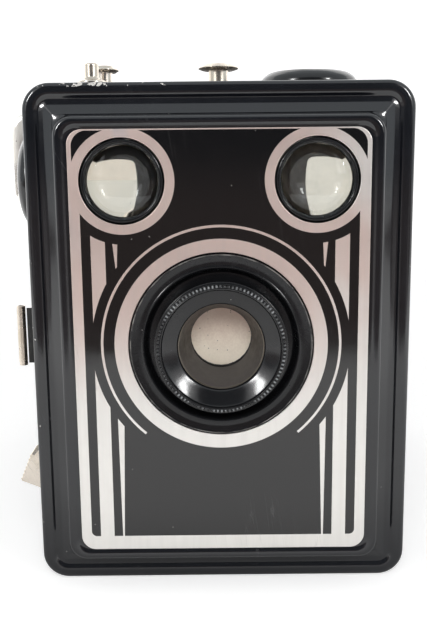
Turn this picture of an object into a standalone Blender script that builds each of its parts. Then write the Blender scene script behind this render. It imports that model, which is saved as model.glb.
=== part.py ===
"""Roll-film box camera, built as an assembly of separate pieces.

Metres, +Z up. The camera stands on its bottom at Z = 0 with its lens looking along -Y. The origin is the
middle of the bottom face. Left and right are those of someone who looks at the front of the camera.
"""

import math

import bmesh
import bpy
from mathutils import Matrix

MM = 0.001

# ---- driving dimensions -------------------------------------------------------------------------
CLEARANCE = 0.3 * MM            # gap between pieces that touch on the real camera

# body
FRONT_WIDTH = 79.6 * MM
FRONT_HEIGHT = 106.4 * MM
BODY_DEPTH = 108.0 * MM         # front frame's shoulder to the back of the door
CORNER_RADIUS = 5.6 * MM
SHELL_WALL = 0.8 * MM
COVER_THICKNESS = 0.5 * MM
PRESSING_SHEET = 0.5 * MM
FRAME_WRAP = 2.7 * MM           # how far the front frame reaches back over the shell
FRAME_RIM_DROP = 0.9 * MM
FRAME_RIM_RISE = 0.3 * MM
FRAME_CREASE_INSET = 3.2 * MM
FRAME_FOOT_INSET = 6.0 * MM
FRAME_FOOT_RISE = 1.0 * MM
FRAME_BEAD_INSET = 7.0 * MM
BEAD_CORNER_RADIUS = 3.6 * MM
MITRE_RADIUS = 0.5 * MM
FRAME_RIM_SECTIONS = 4          # sections over which the rim turns from the side to the front
SHELL_FRONT_SETBACK = 1.1 * MM
DOOR_FLANGE = 3.6 * MM
DOOR_SHEET = 0.5 * MM
CORNER_STEPS = 3
# sides of round pieces: pieces that mate share a value, so that their gap is even
LARGE_STEPS = 28
STEPS = 20
SMALL_STEPS = 14
PIN_STEPS = 10

# front relief: the plate stands this far in front of the frame's shoulder
PLATE_FORWARD = 6.2 * MM
PLATE_THICKNESS = 0.4 * MM
PLATE_INSET_SIDE = 9.85 * MM
PLATE_INSET_TOP = 9.5 * MM
PLATE_WIDTH = FRONT_WIDTH - 2 * PLATE_INSET_SIDE
PLATE_HEIGHT = FRONT_HEIGHT - 2 * PLATE_INSET_TOP
PLATE_CORNER_RADIUS = 3.0 * MM

# lens and shutter, on the lens axis
LENS_ABOVE_MIDDLE = 0.8 * MM
LENS_HEIGHT = FRONT_HEIGHT / 2 + LENS_ABOVE_MIDDLE
DISH_RADIUS = 18.6 * MM
DISH_FLOOR_RADIUS = 15.5 * MM
DISH_FLOOR_DEPTH = 2.4 * MM
DISH_SHEET = 0.6 * MM
LENS_RING_RADIUS = 13.1 * MM
LENS_RING_FORWARD = 4.0 * MM
RING_MOUTH_RADIUS = 8.8 * MM
RING_MOUTH_FORWARD = 2.3 * MM
RING_BARREL_RADIUS = 9.2 * MM
FUNNEL_END_RADIUS = 6.4 * MM
FUNNEL_END_DEPTH = 7.6 * MM
SHUTTER_CASE_RADIUS = 22.5 * MM
SHUTTER_CASE_SHEET = 0.6 * MM
BLADE_THICKNESS = 0.3 * MM
BLADE_RADIUS = 8.0 * MM
BLADE_PIVOT_DISTANCE = 14.0 * MM
BLADE_PIVOT_ANGLE = math.radians(-45.0)
BLADE_HUB_RADIUS = 2.2 * MM
BOARD_THICKNESS = 0.8 * MM
BOARD_BOTTOM = 14.0 * MM
BOARD_BELOW_TOP = 30.4 * MM
BOARD_TOP = FRONT_HEIGHT - BOARD_BELOW_TOP
SHUTTER_HOLE_RADIUS = 5.5 * MM
PIVOT_RADIUS = 0.9 * MM
PIVOT_HEAD_RADIUS = 1.8 * MM
PIVOT_HEAD_THICKNESS = 0.6 * MM
SLIDE_THICKNESS = 0.4 * MM
SLIDE_HEIGHT = 12.0 * MM
SLIDE_PITCH = 12.0 * MM         # from one stop hole to the next
SLIDE_STOPS = 3
SLIDE_END_MARGIN = 7.0 * MM
SLIDE_OUTSIDE = 1.9 * MM        # the strip's end stands this far outside the covering at rest
LARGE_STOP_RADIUS = 4.6 * MM
SMALL_STOP_RADIUS = 3.2 * MM
FILTER_RADIUS = 4.9 * MM
FILTER_THICKNESS = 0.3 * MM
LENS_RADIUS = 7.5 * MM
LENS_THICKNESS = 2.2 * MM
LENS_CELL_RADIUS = 12.0 * MM
LENS_CELL_SHEET = 0.8 * MM
LENS_CELL_DEPTH = 5.0 * MM
TAB_HEIGHT = 13.0 * MM
TAB_ROLL_RADIUS = 0.95 * MM
TAB_SHEET = 0.35 * MM

# release lever
LEVER_PIVOT_X = -27.0 * MM
LEVER_PIVOT_Z = 21.5 * MM
LEVER_BEHIND_PLATE = 14.0 * MM
LEVER_THICKNESS = 1.0 * MM
LEVER_ARM_HEIGHT = 4.0 * MM
LEVER_HUB_RADIUS = 3.2 * MM
LEVER_STROKE = math.radians(10.0)
THUMB_TOP = 26.6 * MM
THUMB_BOTTOM = 18.0 * MM
THUMB_REACH = 5.2 * MM          # from the covering to the plate's outer corner
THUMB_WIDTH = 7.0 * MM
THUMB_SHEET = 0.7 * MM
RIB_COUNT = 7
RIB_RADIUS = 0.28 * MM
SPRING_WIRE = 0.25 * MM
SPRING_RADIUS = 2.0 * MM
SPRING_TURNS = 3
SPRING_PITCH = 0.9 * MM

# finders
FINDER_SPACING = 38.7 * MM
FINDER_BELOW_TOP = 19.65 * MM
FINDER_HOLE_RADIUS = 8.5 * MM
FINDER_LENS_RADIUS = 7.05 * MM
FINDER_SLEEVE_RADIUS = 8.2 * MM
FINDER_SLEEVE_DEPTH = 9.0 * MM
FINDER_DEPTH = 19.7 * MM        # from the plate to the middle of the mirror
FINDER_BOX_SIZE = 17.2 * MM     # clear inside
FINDER_BOX_WALL = 0.6 * MM
MIRROR_THICKNESS = 1.0 * MM
MIRROR_WIDTH = 16.0 * MM
WINDOW_BEZEL_RADIUS = 10.4 * MM
WINDOW_BEZEL_RISE = 3.4 * MM
WINDOW_COLLAR_RADIUS = 8.3 * MM
WINDOW_RADIUS = 6.9 * MM

# fittings on top
STUD_HEAD_RADIUS = 4.5 * MM
STUD_STEM_RADIUS = 2.26 * MM
STUD_HEIGHT = 4.9 * MM
STUD_SHAFT_RADIUS = 1.6 * MM
STUD_BEHIND_FRONT = 15.3 * MM
STUD_BEFORE_BACK = 18.7 * MM
SMALL_STUD_X = -25.0 * MM
SMALL_STUD_BEHIND_FRONT = 17.3 * MM
SMALL_STUD_HEAD_RADIUS = 3.2 * MM
SMALL_STUD_STEM_RADIUS = 1.95 * MM
CONTACT_X = -26.6 * MM
CONTACT_BEHIND_FRONT = 9.0 * MM
CONTACT_RADIUS = 1.5 * MM
CONTACT_HEIGHT = 4.6 * MM
CONTACT_FLANGE_RADIUS = 3.06 * MM
INSULATOR_RADIUS = 3.3 * MM
INSULATOR_COLLAR_RADIUS = 2.2 * MM
RIVET_HEAD_RADIUS = 2.8 * MM
RIVET_HEAD_THICKNESS = 0.7 * MM

# tripod bushes
BUSH_RADIUS = 5.0 * MM
BUSH_FLANGE_RADIUS = 7.0 * MM
BUSH_BORE_RADIUS = 3.15 * MM
BUSH_LENGTH = 6.0 * MM
BUSH_BEHIND_FRONT = 15.0 * MM

# film path
SPOOL_LENGTH = 65.8 * MM
SPOOL_FLANGE_RADIUS = 12.6 * MM
SPOOL_FLANGE_THICKNESS = 0.8 * MM
SPOOL_CORE_RADIUS = 5.0 * MM
SPOOL_BORE_RADIUS = 2.6 * MM
SPOOL_BEHIND_FRONT = 39.0 * MM
SPOOL_WALL_GAP = 0.8 * MM
CARRIER_SHEET = 0.6 * MM
CARRIER_BEHIND_FRONT = 24.4 * MM
CARRIER_EDGE = 1.2 * MM         # sheet left behind the rollers' holes
FRONT_PLATE_HALF_HEIGHT = 20.0 * MM
GATE_WIDTH = 56.0 * MM
GATE_MARGIN = 11.2 * MM         # room above and below the gate for the rollers
GATE_HEIGHT = FRONT_HEIGHT - 2 * GATE_MARGIN
GATE_BEFORE_BACK = 9.0 * MM
GATE_SHEET = 0.8 * MM
GATE_BAR = 1.2 * MM
CONE_FRONT_HALF_WIDTH = 12.1 * MM
CONE_FRONT_HALF_HEIGHT = 14.4 * MM
CONE_SHEET = 0.6 * MM
ROLLER_RADIUS = 2.0 * MM
TRUNNION_RADIUS = 1.1 * MM
SPOOL_PIN_RADIUS = 2.1 * MM
PIN_ENGAGEMENT = 2.5 * MM

# winding key
KEY_SHAFT_RADIUS = 2.1 * MM
KEY_BOSS_RADIUS = 4.0 * MM
KEY_BOSS_LENGTH = 2.2 * MM
KEY_WING_HEIGHT = 23.0 * MM
KEY_WING_REACH = 8.2 * MM
KEY_WING_THICKNESS = 1.2 * MM
KEY_WING_RADIUS = 5.5 * MM

# back door
HINGE_KNUCKLE_RADIUS = 1.5 * MM
HINGE_PIN_RADIUS = 0.6 * MM
HINGE_LEAF = 0.5 * MM
HINGE_LEAF_LENGTH = 9.0 * MM
HINGE_LENGTH = 60.0 * MM
KNUCKLE_COUNT = 3
CATCH_WIDTH = 12.0 * MM
CATCH_SHEET = 0.5 * MM
CATCH_REACH = 8.0 * MM
RED_WINDOW_X = -18.0 * MM
RED_WINDOW_Z = LENS_HEIGHT
RED_WINDOW_RADIUS = 4.0 * MM
RED_WINDOW_THICKNESS = 0.6 * MM
RED_RING_WIDTH = 1.8 * MM
RED_RING_RISE = 0.9 * MM

# ---- derived places -----------------------------------------------------------------------------
FRONT_Y = -BODY_DEPTH / 2
BACK_Y = BODY_DEPTH / 2
HALF_WIDTH = FRONT_WIDTH / 2
MIDDLE_Z = FRONT_HEIGHT / 2
PLATE_Y = FRONT_Y - PLATE_FORWARD
STUD_FRONT_Y = FRONT_Y + STUD_BEHIND_FRONT
STUD_REAR_Y = BACK_Y - STUD_BEFORE_BACK
SMALL_STUD_Y = FRONT_Y + SMALL_STUD_BEHIND_FRONT
CONTACT_Y = FRONT_Y + CONTACT_BEHIND_FRONT
BUSH_Y = FRONT_Y + BUSH_BEHIND_FRONT
SPOOL_Y = FRONT_Y + SPOOL_BEHIND_FRONT
CARRIER_FRONT_Y = FRONT_Y + CARRIER_BEHIND_FRONT
GATE_Y = BACK_Y - GATE_BEFORE_BACK

SKIN = max(COVER_THICKNESS, PRESSING_SHEET)
SHELL_INSET = SKIN + CLEARANCE
SHELL_HALF = HALF_WIDTH - SHELL_INSET
SHELL_INNER_HALF = SHELL_HALF - SHELL_WALL
SHELL_INNER_BOTTOM = SHELL_INSET + SHELL_WALL
SHELL_INNER_TOP = FRONT_HEIGHT - SHELL_INNER_BOTTOM
COVER_INSET = SHELL_INSET - CLEARANCE - COVER_THICKNESS
COVER_HALF = HALF_WIDTH - COVER_INSET
COVER_TOP = FRONT_HEIGHT - COVER_INSET
SHELL_FRONT_Y = FRONT_Y + SHELL_FRONT_SETBACK
COVER_FRONT_Y = FRONT_Y + FRAME_WRAP + CLEARANCE
DOOR_BACK_Y = BACK_Y - COVER_THICKNESS - CLEARANCE
DOOR_FRONT_Y = DOOR_BACK_Y - DOOR_FLANGE
SHELL_BACK_Y = DOOR_BACK_Y - DOOR_SHEET - CLEARANCE
COVER_BACK_Y = DOOR_FRONT_Y - CLEARANCE

# depths behind the plate's front face
PLATFORM_DEPTH = PLATE_THICKNESS + CLEARANCE
CASE_DEPTH = FUNNEL_END_DEPTH + CLEARANCE
BLADE_DEPTH = CASE_DEPTH + SHUTTER_CASE_SHEET + CLEARANCE
BOARD_DEPTH = BLADE_DEPTH + BLADE_THICKNESS + CLEARANCE
BOARD_BACK_DEPTH = BOARD_DEPTH + BOARD_THICKNESS
SLIDE_DEPTH = BOARD_BACK_DEPTH + CLEARANCE
SLIDE_BACK_DEPTH = SLIDE_DEPTH + SLIDE_THICKNESS
CELL_DEPTH = SLIDE_BACK_DEPTH + CLEARANCE

FINDER_HALF_SPACING = FINDER_SPACING / 2
FINDER_Z = FRONT_HEIGHT - FINDER_BELOW_TOP
FINDER_BOX_HALF = FINDER_BOX_SIZE / 2
FINDER_Y = PLATE_Y + FINDER_DEPTH
FINDER_BOX_FRONT_Y = PLATE_Y + FINDER_SLEEVE_DEPTH - FINDER_BOX_WALL

TAKEUP_Z = SHELL_INNER_TOP - SPOOL_WALL_GAP - SPOOL_FLANGE_RADIUS
SUPPLY_Z = SHELL_INNER_BOTTOM + SPOOL_WALL_GAP + SPOOL_FLANGE_RADIUS
CARRIER_OUTER_HALF = SHELL_INNER_HALF - CLEARANCE
CARRIER_INNER_HALF = CARRIER_OUTER_HALF - CARRIER_SHEET
# the shell's rounded corner takes this much off the height of a plate that stands beside its wall
SHELL_INNER_RADIUS = CORNER_RADIUS - SHELL_INSET - SHELL_WALL
CORNER_CHORD = math.sqrt(SHELL_INNER_RADIUS ** 2 - (SHELL_INNER_RADIUS - CLEARANCE) ** 2)
CARRIER_DROP = SHELL_INNER_RADIUS - CORNER_CHORD + 2 * CLEARANCE
ROLLER_Y = GATE_Y + GATE_SHEET / 2
ROLLER_OFFSET = GATE_HEIGHT / 2 + GATE_BAR + CLEARANCE + ROLLER_RADIUS

HINGE_X = HALF_WIDTH + CLEARANCE + HINGE_KNUCKLE_RADIUS
HINGE_Y = DOOR_FRONT_Y + 0.8 * MM

# ---- orientations: a piece's own +Z turned to a side of the camera --------------------------------
UP = (0.0, 0.0, 0.0)
DOWN = (math.pi, 0.0, 0.0)
FORWARD = (math.pi / 2, 0.0, 0.0)
LEFTWARD = (0.0, -math.pi / 2, 0.0)
RIGHTWARD = (0.0, math.pi / 2, 0.0)
BACKWARD = (-math.pi / 2, 0.0, 0.0)


# ---- materials ----------------------------------------------------------------------------------
def material(name, colour, roughness, metallic=0.0, alpha=1.0):
    """A Principled material with the piece's own colour."""
    mat = bpy.data.materials.new(name)
    mat.use_nodes = True
    shader = mat.node_tree.nodes["Principled BSDF"]
    shader.inputs["Base Color"].default_value = (*colour, 1.0)
    shader.inputs["Roughness"].default_value = roughness
    shader.inputs["Metallic"].default_value = metallic
    shader.inputs["Alpha"].default_value = alpha
    mat.diffuse_color = (*colour, alpha)
    return mat


FINISHES = {
    "enamel": ((0.012, 0.012, 0.013), 0.18, 0.0, 1.0),
    "lacquer": ((0.018, 0.017, 0.018), 0.35, 0.0, 1.0),
    "matt_black": ((0.02, 0.02, 0.02), 0.7, 0.0, 1.0),
    "leatherette": ((0.015, 0.015, 0.016), 0.6, 0.0, 1.0),
    "silver_plate": ((0.62, 0.59, 0.55), 0.4, 0.6, 1.0),
    "black_plastic": ((0.014, 0.014, 0.015), 0.25, 0.0, 1.0),
    "nickel": ((0.62, 0.57, 0.50), 0.25, 1.0, 1.0),
    "chrome": ((0.75, 0.74, 0.72), 0.1, 1.0, 1.0),
    "steel": ((0.5, 0.5, 0.5), 0.35, 1.0, 1.0),
    "blade": ((0.55, 0.50, 0.42), 0.4, 0.5, 1.0),
    "brass": ((0.65, 0.48, 0.22), 0.3, 1.0, 1.0),
    "glass": ((0.9, 0.93, 0.92), 0.05, 0.0, 0.3),
    "yellow_glass": ((0.9, 0.7, 0.1), 0.05, 0.0, 0.4),
    "ruby": ((0.5, 0.02, 0.02), 0.1, 0.0, 0.6),
    "mirror": ((0.85, 0.85, 0.83), 0.03, 1.0, 1.0),
    "wood": ((0.35, 0.22, 0.12), 0.6, 0.0, 1.0),
}


# ---- modelling helpers --------------------------------------------------------------------------
def add_object(name, mesh_builder, finish, place, turn=UP, smooth=True):
    """Make one named object from a filled bmesh, with its own material."""
    mesh = bpy.data.meshes.new(name)
    bmesh.ops.recalc_face_normals(mesh_builder, faces=mesh_builder.faces)
    mesh_builder.to_mesh(mesh)
    mesh_builder.free()
    if smooth:
        mesh.shade_smooth()
        mesh.set_sharp_from_angle(angle=math.radians(35.0))
    obj = bpy.data.objects.new(name, mesh)
    bpy.context.scene.collection.objects.link(obj)
    obj.location = place
    obj.rotation_euler = turn
    colour, roughness, metallic, alpha = FINISHES[finish]
    obj.data.materials.append(material(name, colour, roughness, metallic, alpha))
    return obj


def extruded(outline, thickness, start=0.0):
    """A flat plate: the outline in XY, thickened along +Z from `start`."""
    builder = bmesh.new()
    corners = [builder.verts.new((x, y, start)) for x, y in outline]
    face = builder.faces.new(corners)
    result = bmesh.ops.extrude_face_region(builder, geom=[face])
    moved = [item for item in result["geom"] if isinstance(item, bmesh.types.BMVert)]
    bmesh.ops.translate(builder, verts=moved, vec=(0.0, 0.0, thickness))
    return builder


def turned(profile, steps=STEPS):
    """A solid of revolution round Z: the profile is a closed outline of (radius, height) points."""
    builder = bmesh.new()
    points = [builder.verts.new((radius, 0.0, height)) for radius, height in profile]
    edges = []
    for index, point in enumerate(points):
        follower = points[(index + 1) % len(points)]
        on_axis = profile[index][0] == 0.0 and profile[(index + 1) % len(points)][0] == 0.0
        if not on_axis:
            edges.append(builder.edges.new((point, follower)))
    bmesh.ops.spin(builder, geom=points + edges, axis=(0, 0, 1), cent=(0, 0, 0), steps=steps,
                   angle=2 * math.pi, use_duplicate=False)
    bmesh.ops.remove_doubles(builder, verts=builder.verts, dist=0.001 * MM)
    return builder


def block(size_x, size_y, size_z):
    """A box about the origin."""
    builder = bmesh.new()
    bmesh.ops.create_cube(builder, size=1.0)
    bmesh.ops.scale(builder, verts=builder.verts, vec=(size_x, size_y, size_z))
    return builder


def rounded_rectangle(half_width, half_height, radius, steps=CORNER_STEPS):
    """Outline points, anticlockwise, with each corner a quarter circle."""
    points = []
    for quarter in range(4):
        side_x = 1 if quarter in (0, 3) else -1
        side_y = 1 if quarter in (0, 1) else -1
        centre_x = side_x * (half_width - radius)
        centre_y = side_y * (half_height - radius)
        for step in range(steps + 1):
            angle = (quarter + step / steps) * math.pi / 2
            points.append((centre_x + radius * math.cos(angle), centre_y + radius * math.sin(angle)))
    return points


def circle(centre_x, centre_y, radius, steps=STEPS):
    """Points of a circle, anticlockwise."""
    angles = [2 * math.pi * step / steps for step in range(steps)]
    return [(centre_x + radius * math.cos(a), centre_y + radius * math.sin(a)) for a in angles]


def lofted(rings, closed=False):
    """Join outlines of equal length, each (points, height), into one skin.

    A closed loft runs from the last ring back to the first, and is a tube. An open one is capped.
    """
    builder = bmesh.new()
    loops = [[builder.verts.new((x, y, height)) for x, y in points] for points, height in rings]
    pairs = list(zip(loops, loops[1:]))
    if closed:
        pairs.append((loops[-1], loops[0]))
    for lower, upper in pairs:
        for index in range(len(lower)):
            other = (index + 1) % len(lower)
            builder.faces.new((lower[index], lower[other], upper[other], upper[index]))
    if not closed:
        builder.faces.new(loops[0])
        builder.faces.new(loops[-1])
    return builder


def cutter(name, builder, place, turn=UP):
    """A solid that only cuts others: it isn't part of the camera."""
    mesh = bpy.data.meshes.new(name)
    bmesh.ops.recalc_face_normals(builder, faces=builder.faces)
    builder.to_mesh(mesh)
    builder.free()
    obj = bpy.data.objects.new(name, mesh)
    bpy.context.scene.collection.objects.link(obj)
    obj.location = place
    obj.rotation_euler = turn
    obj.hide_render = True
    obj.display_type = "WIRE"
    return obj


def round_cutter(name, radius, length, place, turn, steps=STEPS):
    """A cylinder that reaches `length` to both sides of its place along its turned Z."""
    return cutter(name, extruded(circle(0, 0, radius, steps), 2 * length, -length), place, turn)


def combine(obj, tool, operation):
    """Apply a Boolean of `tool` to `obj` as a modifier."""
    modifier = obj.modifiers.new(tool.name, "BOOLEAN")
    modifier.object = tool
    modifier.operation = operation
    modifier.solver = "EXACT"


def cut(obj, tools):
    """Cut each tool out of the object."""
    for tool in tools:
        combine(obj, tool, "DIFFERENCE")


def join(obj, tools):
    """Weld each tool on to the object."""
    for tool in tools:
        combine(obj, tool, "UNION")


# ---- body ---------------------------------------------------------------------------------------
def wall_holes():
    """Cutters for what passes through the shell and its covering, which share them."""
    reach = 6 * MM
    top = FRONT_HEIGHT
    slide_y = PLATE_Y + (SLIDE_DEPTH + SLIDE_BACK_DEPTH) / 2
    lever_y = PLATE_Y + LEVER_BEHIND_PLATE + LEVER_THICKNESS / 2
    stud_hole = STUD_SHAFT_RADIUS + CLEARANCE
    window_hole = WINDOW_COLLAR_RADIUS + CLEARANCE
    arm_length = -HALF_WIDTH - LEVER_PIVOT_X
    drop = abs(arm_length) * math.sin(LEVER_STROKE)
    slot_top = LEVER_PIVOT_Z + LEVER_ARM_HEIGHT / 2 + 2 * CLEARANCE
    slot_bottom = LEVER_PIVOT_Z - LEVER_ARM_HEIGHT / 2 - drop - 2 * CLEARANCE
    slide_slot = block(2 * reach, SLIDE_THICKNESS + 2 * CLEARANCE, SLIDE_HEIGHT + 2 * CLEARANCE)
    lever_slot = block(2 * reach, LEVER_THICKNESS + 4 * CLEARANCE, slot_top - slot_bottom)
    return [
        round_cutter("hole_key", KEY_SHAFT_RADIUS + 2 * CLEARANCE, reach,
                     (-HALF_WIDTH, SPOOL_Y, TAKEUP_Z), LEFTWARD, SMALL_STEPS),
        round_cutter("hole_side_window", window_hole, reach,
                     (-HALF_WIDTH, FINDER_Y, FINDER_Z), LEFTWARD),
        cutter("slot_slide", slide_slot, (-HALF_WIDTH, slide_y, LENS_HEIGHT)),
        cutter("slot_lever", lever_slot, (-HALF_WIDTH, lever_y, (slot_top + slot_bottom) / 2)),
        round_cutter("hole_top_window", window_hole, reach, (FINDER_HALF_SPACING, FINDER_Y, top), UP),
        round_cutter("hole_strap_front", stud_hole, reach, (0, STUD_FRONT_Y, top), UP, SMALL_STEPS),
        round_cutter("hole_strap_rear", stud_hole, reach, (0, STUD_REAR_Y, top), UP, SMALL_STEPS),
        round_cutter("hole_small_stud", stud_hole, reach, (SMALL_STUD_X, SMALL_STUD_Y, top), UP, SMALL_STEPS),
        round_cutter("hole_contact", INSULATOR_COLLAR_RADIUS + CLEARANCE, reach,
                     (CONTACT_X, CONTACT_Y, top), UP, SMALL_STEPS),
        round_cutter("hole_bottom_bush", BUSH_RADIUS + CLEARANCE, reach, (0, BUSH_Y, 0), UP,
                     SMALL_STEPS),
        round_cutter("hole_side_bush", BUSH_RADIUS + CLEARANCE, reach,
                     (HALF_WIDTH, BUSH_Y, LENS_HEIGHT), RIGHTWARD, SMALL_STEPS),
    ]


def body_tube(name, finish, inset, wall, front_y, back_y):
    """A rounded rectangular tube along Y, its outer face `inset` inside the camera's outline."""
    half_height = FRONT_HEIGHT / 2
    outer = rounded_rectangle(HALF_WIDTH - inset, half_height - inset, CORNER_RADIUS - inset)
    depth = inset + wall
    inner = rounded_rectangle(HALF_WIDTH - depth, half_height - depth, CORNER_RADIUS - depth)
    rings = [(outer, -back_y), (outer, -front_y), (inner, -front_y), (inner, -back_y)]
    return add_object(name, lofted(rings, closed=True), finish, (0, 0, MIDDLE_Z), FORWARD)


def build_body():
    """Steel tube and the leatherette glued round it, cut by the same tools."""
    holes = wall_holes()
    shell = body_tube("body_shell", "matt_black", SHELL_INSET, SHELL_WALL, SHELL_FRONT_Y, SHELL_BACK_Y)
    wrap = body_tube("leatherette_wrap", "leatherette", COVER_INSET, COVER_THICKNESS, COVER_FRONT_Y,
                     COVER_BACK_Y)
    cut(shell, holes)
    cut(wrap, holes)


def frame_sections():
    """The front frame's steps: (inset, forward of the shoulder, corner radius), from the outside in."""
    border = PLATE_FORWARD - PLATFORM_DEPTH
    rim = [
        (0.0, -FRAME_WRAP), (0.0, -FRAME_RIM_DROP), (0.3 * FRAME_RIM_RISE, -FRAME_RIM_DROP / 3),
        (FRAME_RIM_DROP, 0.5 * FRAME_RIM_RISE), (0.5 * FRAME_CREASE_INSET, FRAME_RIM_RISE),
        (0.8 * FRAME_CREASE_INSET, 0.7 * FRAME_RIM_RISE), (FRAME_CREASE_INSET, -0.5 * FRAME_RIM_RISE),
    ]
    sections = [(inset, forward, CORNER_RADIUS - inset) for inset, forward in rim]
    band_start = FRAME_CREASE_INSET + FRAME_RIM_DROP
    sections.append((band_start, 0.0, CORNER_RADIUS - band_start))
    sections.append((FRAME_FOOT_INSET, FRAME_FOOT_RISE, MITRE_RADIUS))
    bead = [(-0.3, -1.0), (0.0, 0.0), (0.6, 0.4), (1.3, 0.3), (1.9, 0.0)]
    for inward, forward in bead:
        inset = FRAME_BEAD_INSET + inward * MM
        radius = BEAD_CORNER_RADIUS - max(0.0, inward - 0.6) * MM
        sections.append((inset, border + forward * MM, radius))
    return sections


def build_front():
    """Front frame, one pressing closed behind the face plate, and the plate itself."""
    sections = frame_sections()
    half_height = FRONT_HEIGHT / 2
    outside = []
    inside = []
    for index, (inset, forward, radius) in enumerate(sections):
        outline = rounded_rectangle(HALF_WIDTH - inset, half_height - inset, radius)
        outside.append((outline, forward))
        # the inner skin lies one sheet inside, and one sheet behind once the section faces forward
        depth = inset + PRESSING_SHEET
        step_back = PRESSING_SHEET * min(1.0, index / FRAME_RIM_SECTIONS)
        inner_radius = max(radius - PRESSING_SHEET, MITRE_RADIUS / 2)
        inner = rounded_rectangle(HALF_WIDTH - depth, half_height - depth, inner_radius)
        inside.append((inner, forward - step_back))
    rings = list(reversed(inside)) + outside
    frame = add_object("front_frame", lofted(rings), "enamel", (0, FRONT_Y, MIDDLE_Z), FORWARD)
    plate_outline = rounded_rectangle(PLATE_WIDTH / 2, PLATE_HEIGHT / 2, PLATE_CORNER_RADIUS)
    plate = add_object("face_plate", extruded(plate_outline, PLATE_THICKNESS, -PLATE_THICKNESS),
                       "silver_plate", (0, PLATE_Y, MIDDLE_Z), FORWARD)
    reach = 8 * MM
    lens_place = (0, PLATE_Y, LENS_HEIGHT)
    frame_tools = [round_cutter("hole_frame_lens", DISH_FLOOR_RADIUS + DISH_SHEET + 2 * CLEARANCE, reach,
                                lens_place, FORWARD, LARGE_STEPS)]
    plate_tools = [round_cutter("hole_plate_lens", DISH_RADIUS + CLEARANCE, reach, lens_place, FORWARD,
                                LARGE_STEPS)]
    for side in (-1, 1):
        place = (side * FINDER_HALF_SPACING, PLATE_Y, FINDER_Z)
        frame_tools.append(round_cutter(f"hole_frame_finder_{side}", FINDER_SLEEVE_RADIUS + CLEARANCE,
                                        reach, place, FORWARD))
        plate_tools.append(round_cutter(f"hole_plate_finder_{side}", FINDER_HOLE_RADIUS, reach, place,
                                        FORWARD))
    cut(frame, frame_tools)
    cut(plate, plate_tools)


# ---- lens and shutter ---------------------------------------------------------------------------
def on_lens_axis(depth):
    """A place on the lens axis, `depth` behind the plate's front face."""
    return (0.0, PLATE_Y + depth, LENS_HEIGHT)


def build_lens_dish():
    """Shallow turned dish whose rim lies on the frame inside the plate's hole."""
    seat = CLEARANCE - PLATFORM_DEPTH
    rim = DISH_RADIUS
    wall = DISH_FLOOR_RADIUS + DISH_SHEET
    floor = -DISH_FLOOR_DEPTH
    bore = RING_BARREL_RADIUS + CLEARANCE
    profile = [
        (rim, seat), (rim, 0.3 * MM), (rim - 0.2 * MM, 0.5 * MM), (rim - 0.6 * MM, 0.5 * MM),
        (rim - 1.0 * MM, 0.15 * MM), (DISH_FLOOR_RADIUS + 0.3 * MM, -0.1 * MM),
        (DISH_FLOOR_RADIUS, seat), (DISH_FLOOR_RADIUS - 0.3 * MM, floor), (bore, floor),
        (bore, floor - DISH_SHEET), (wall, floor - DISH_SHEET), (wall, seat),
    ]
    add_object("lens_dish", turned(profile, LARGE_STEPS), "black_plastic", on_lens_axis(0), FORWARD)


def build_lens_ring():
    """Knurled front ring with a rounded face and a funnel that narrows towards the shutter."""
    outer = LENS_RING_RADIUS
    front = LENS_RING_FORWARD
    barrel = RING_BARREL_RADIUS
    tube = FUNNEL_END_RADIUS + 1.2 * MM
    profile = [
        (FUNNEL_END_RADIUS, -FUNNEL_END_DEPTH), (RING_MOUTH_RADIUS, RING_MOUTH_FORWARD),
        (RING_MOUTH_RADIUS + 0.6 * MM, front - 0.8 * MM), (RING_MOUTH_RADIUS + 1.8 * MM, front - 0.2 * MM),
        (outer - 1.6 * MM, front), (outer - 0.8 * MM, front - 0.3 * MM), (outer - 0.1 * MM, front - 1.0 * MM),
        (outer, front - 1.8 * MM), (outer, 0.3 * MM), (outer - 0.5 * MM, 0.0), (barrel, 0.0),
        (barrel, -DISH_FLOOR_DEPTH - DISH_SHEET - CLEARANCE), (tube, -FUNNEL_END_DEPTH),
    ]
    add_object("lens_ring", turned(profile, LARGE_STEPS), "black_plastic", on_lens_axis(0), FORWARD)


def pivot_place():
    """The shutter blade's pivot in the front plane: (x, z)."""
    return (BLADE_PIVOT_DISTANCE * math.cos(BLADE_PIVOT_ANGLE),
            LENS_HEIGHT + BLADE_PIVOT_DISTANCE * math.sin(BLADE_PIVOT_ANGLE))


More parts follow.
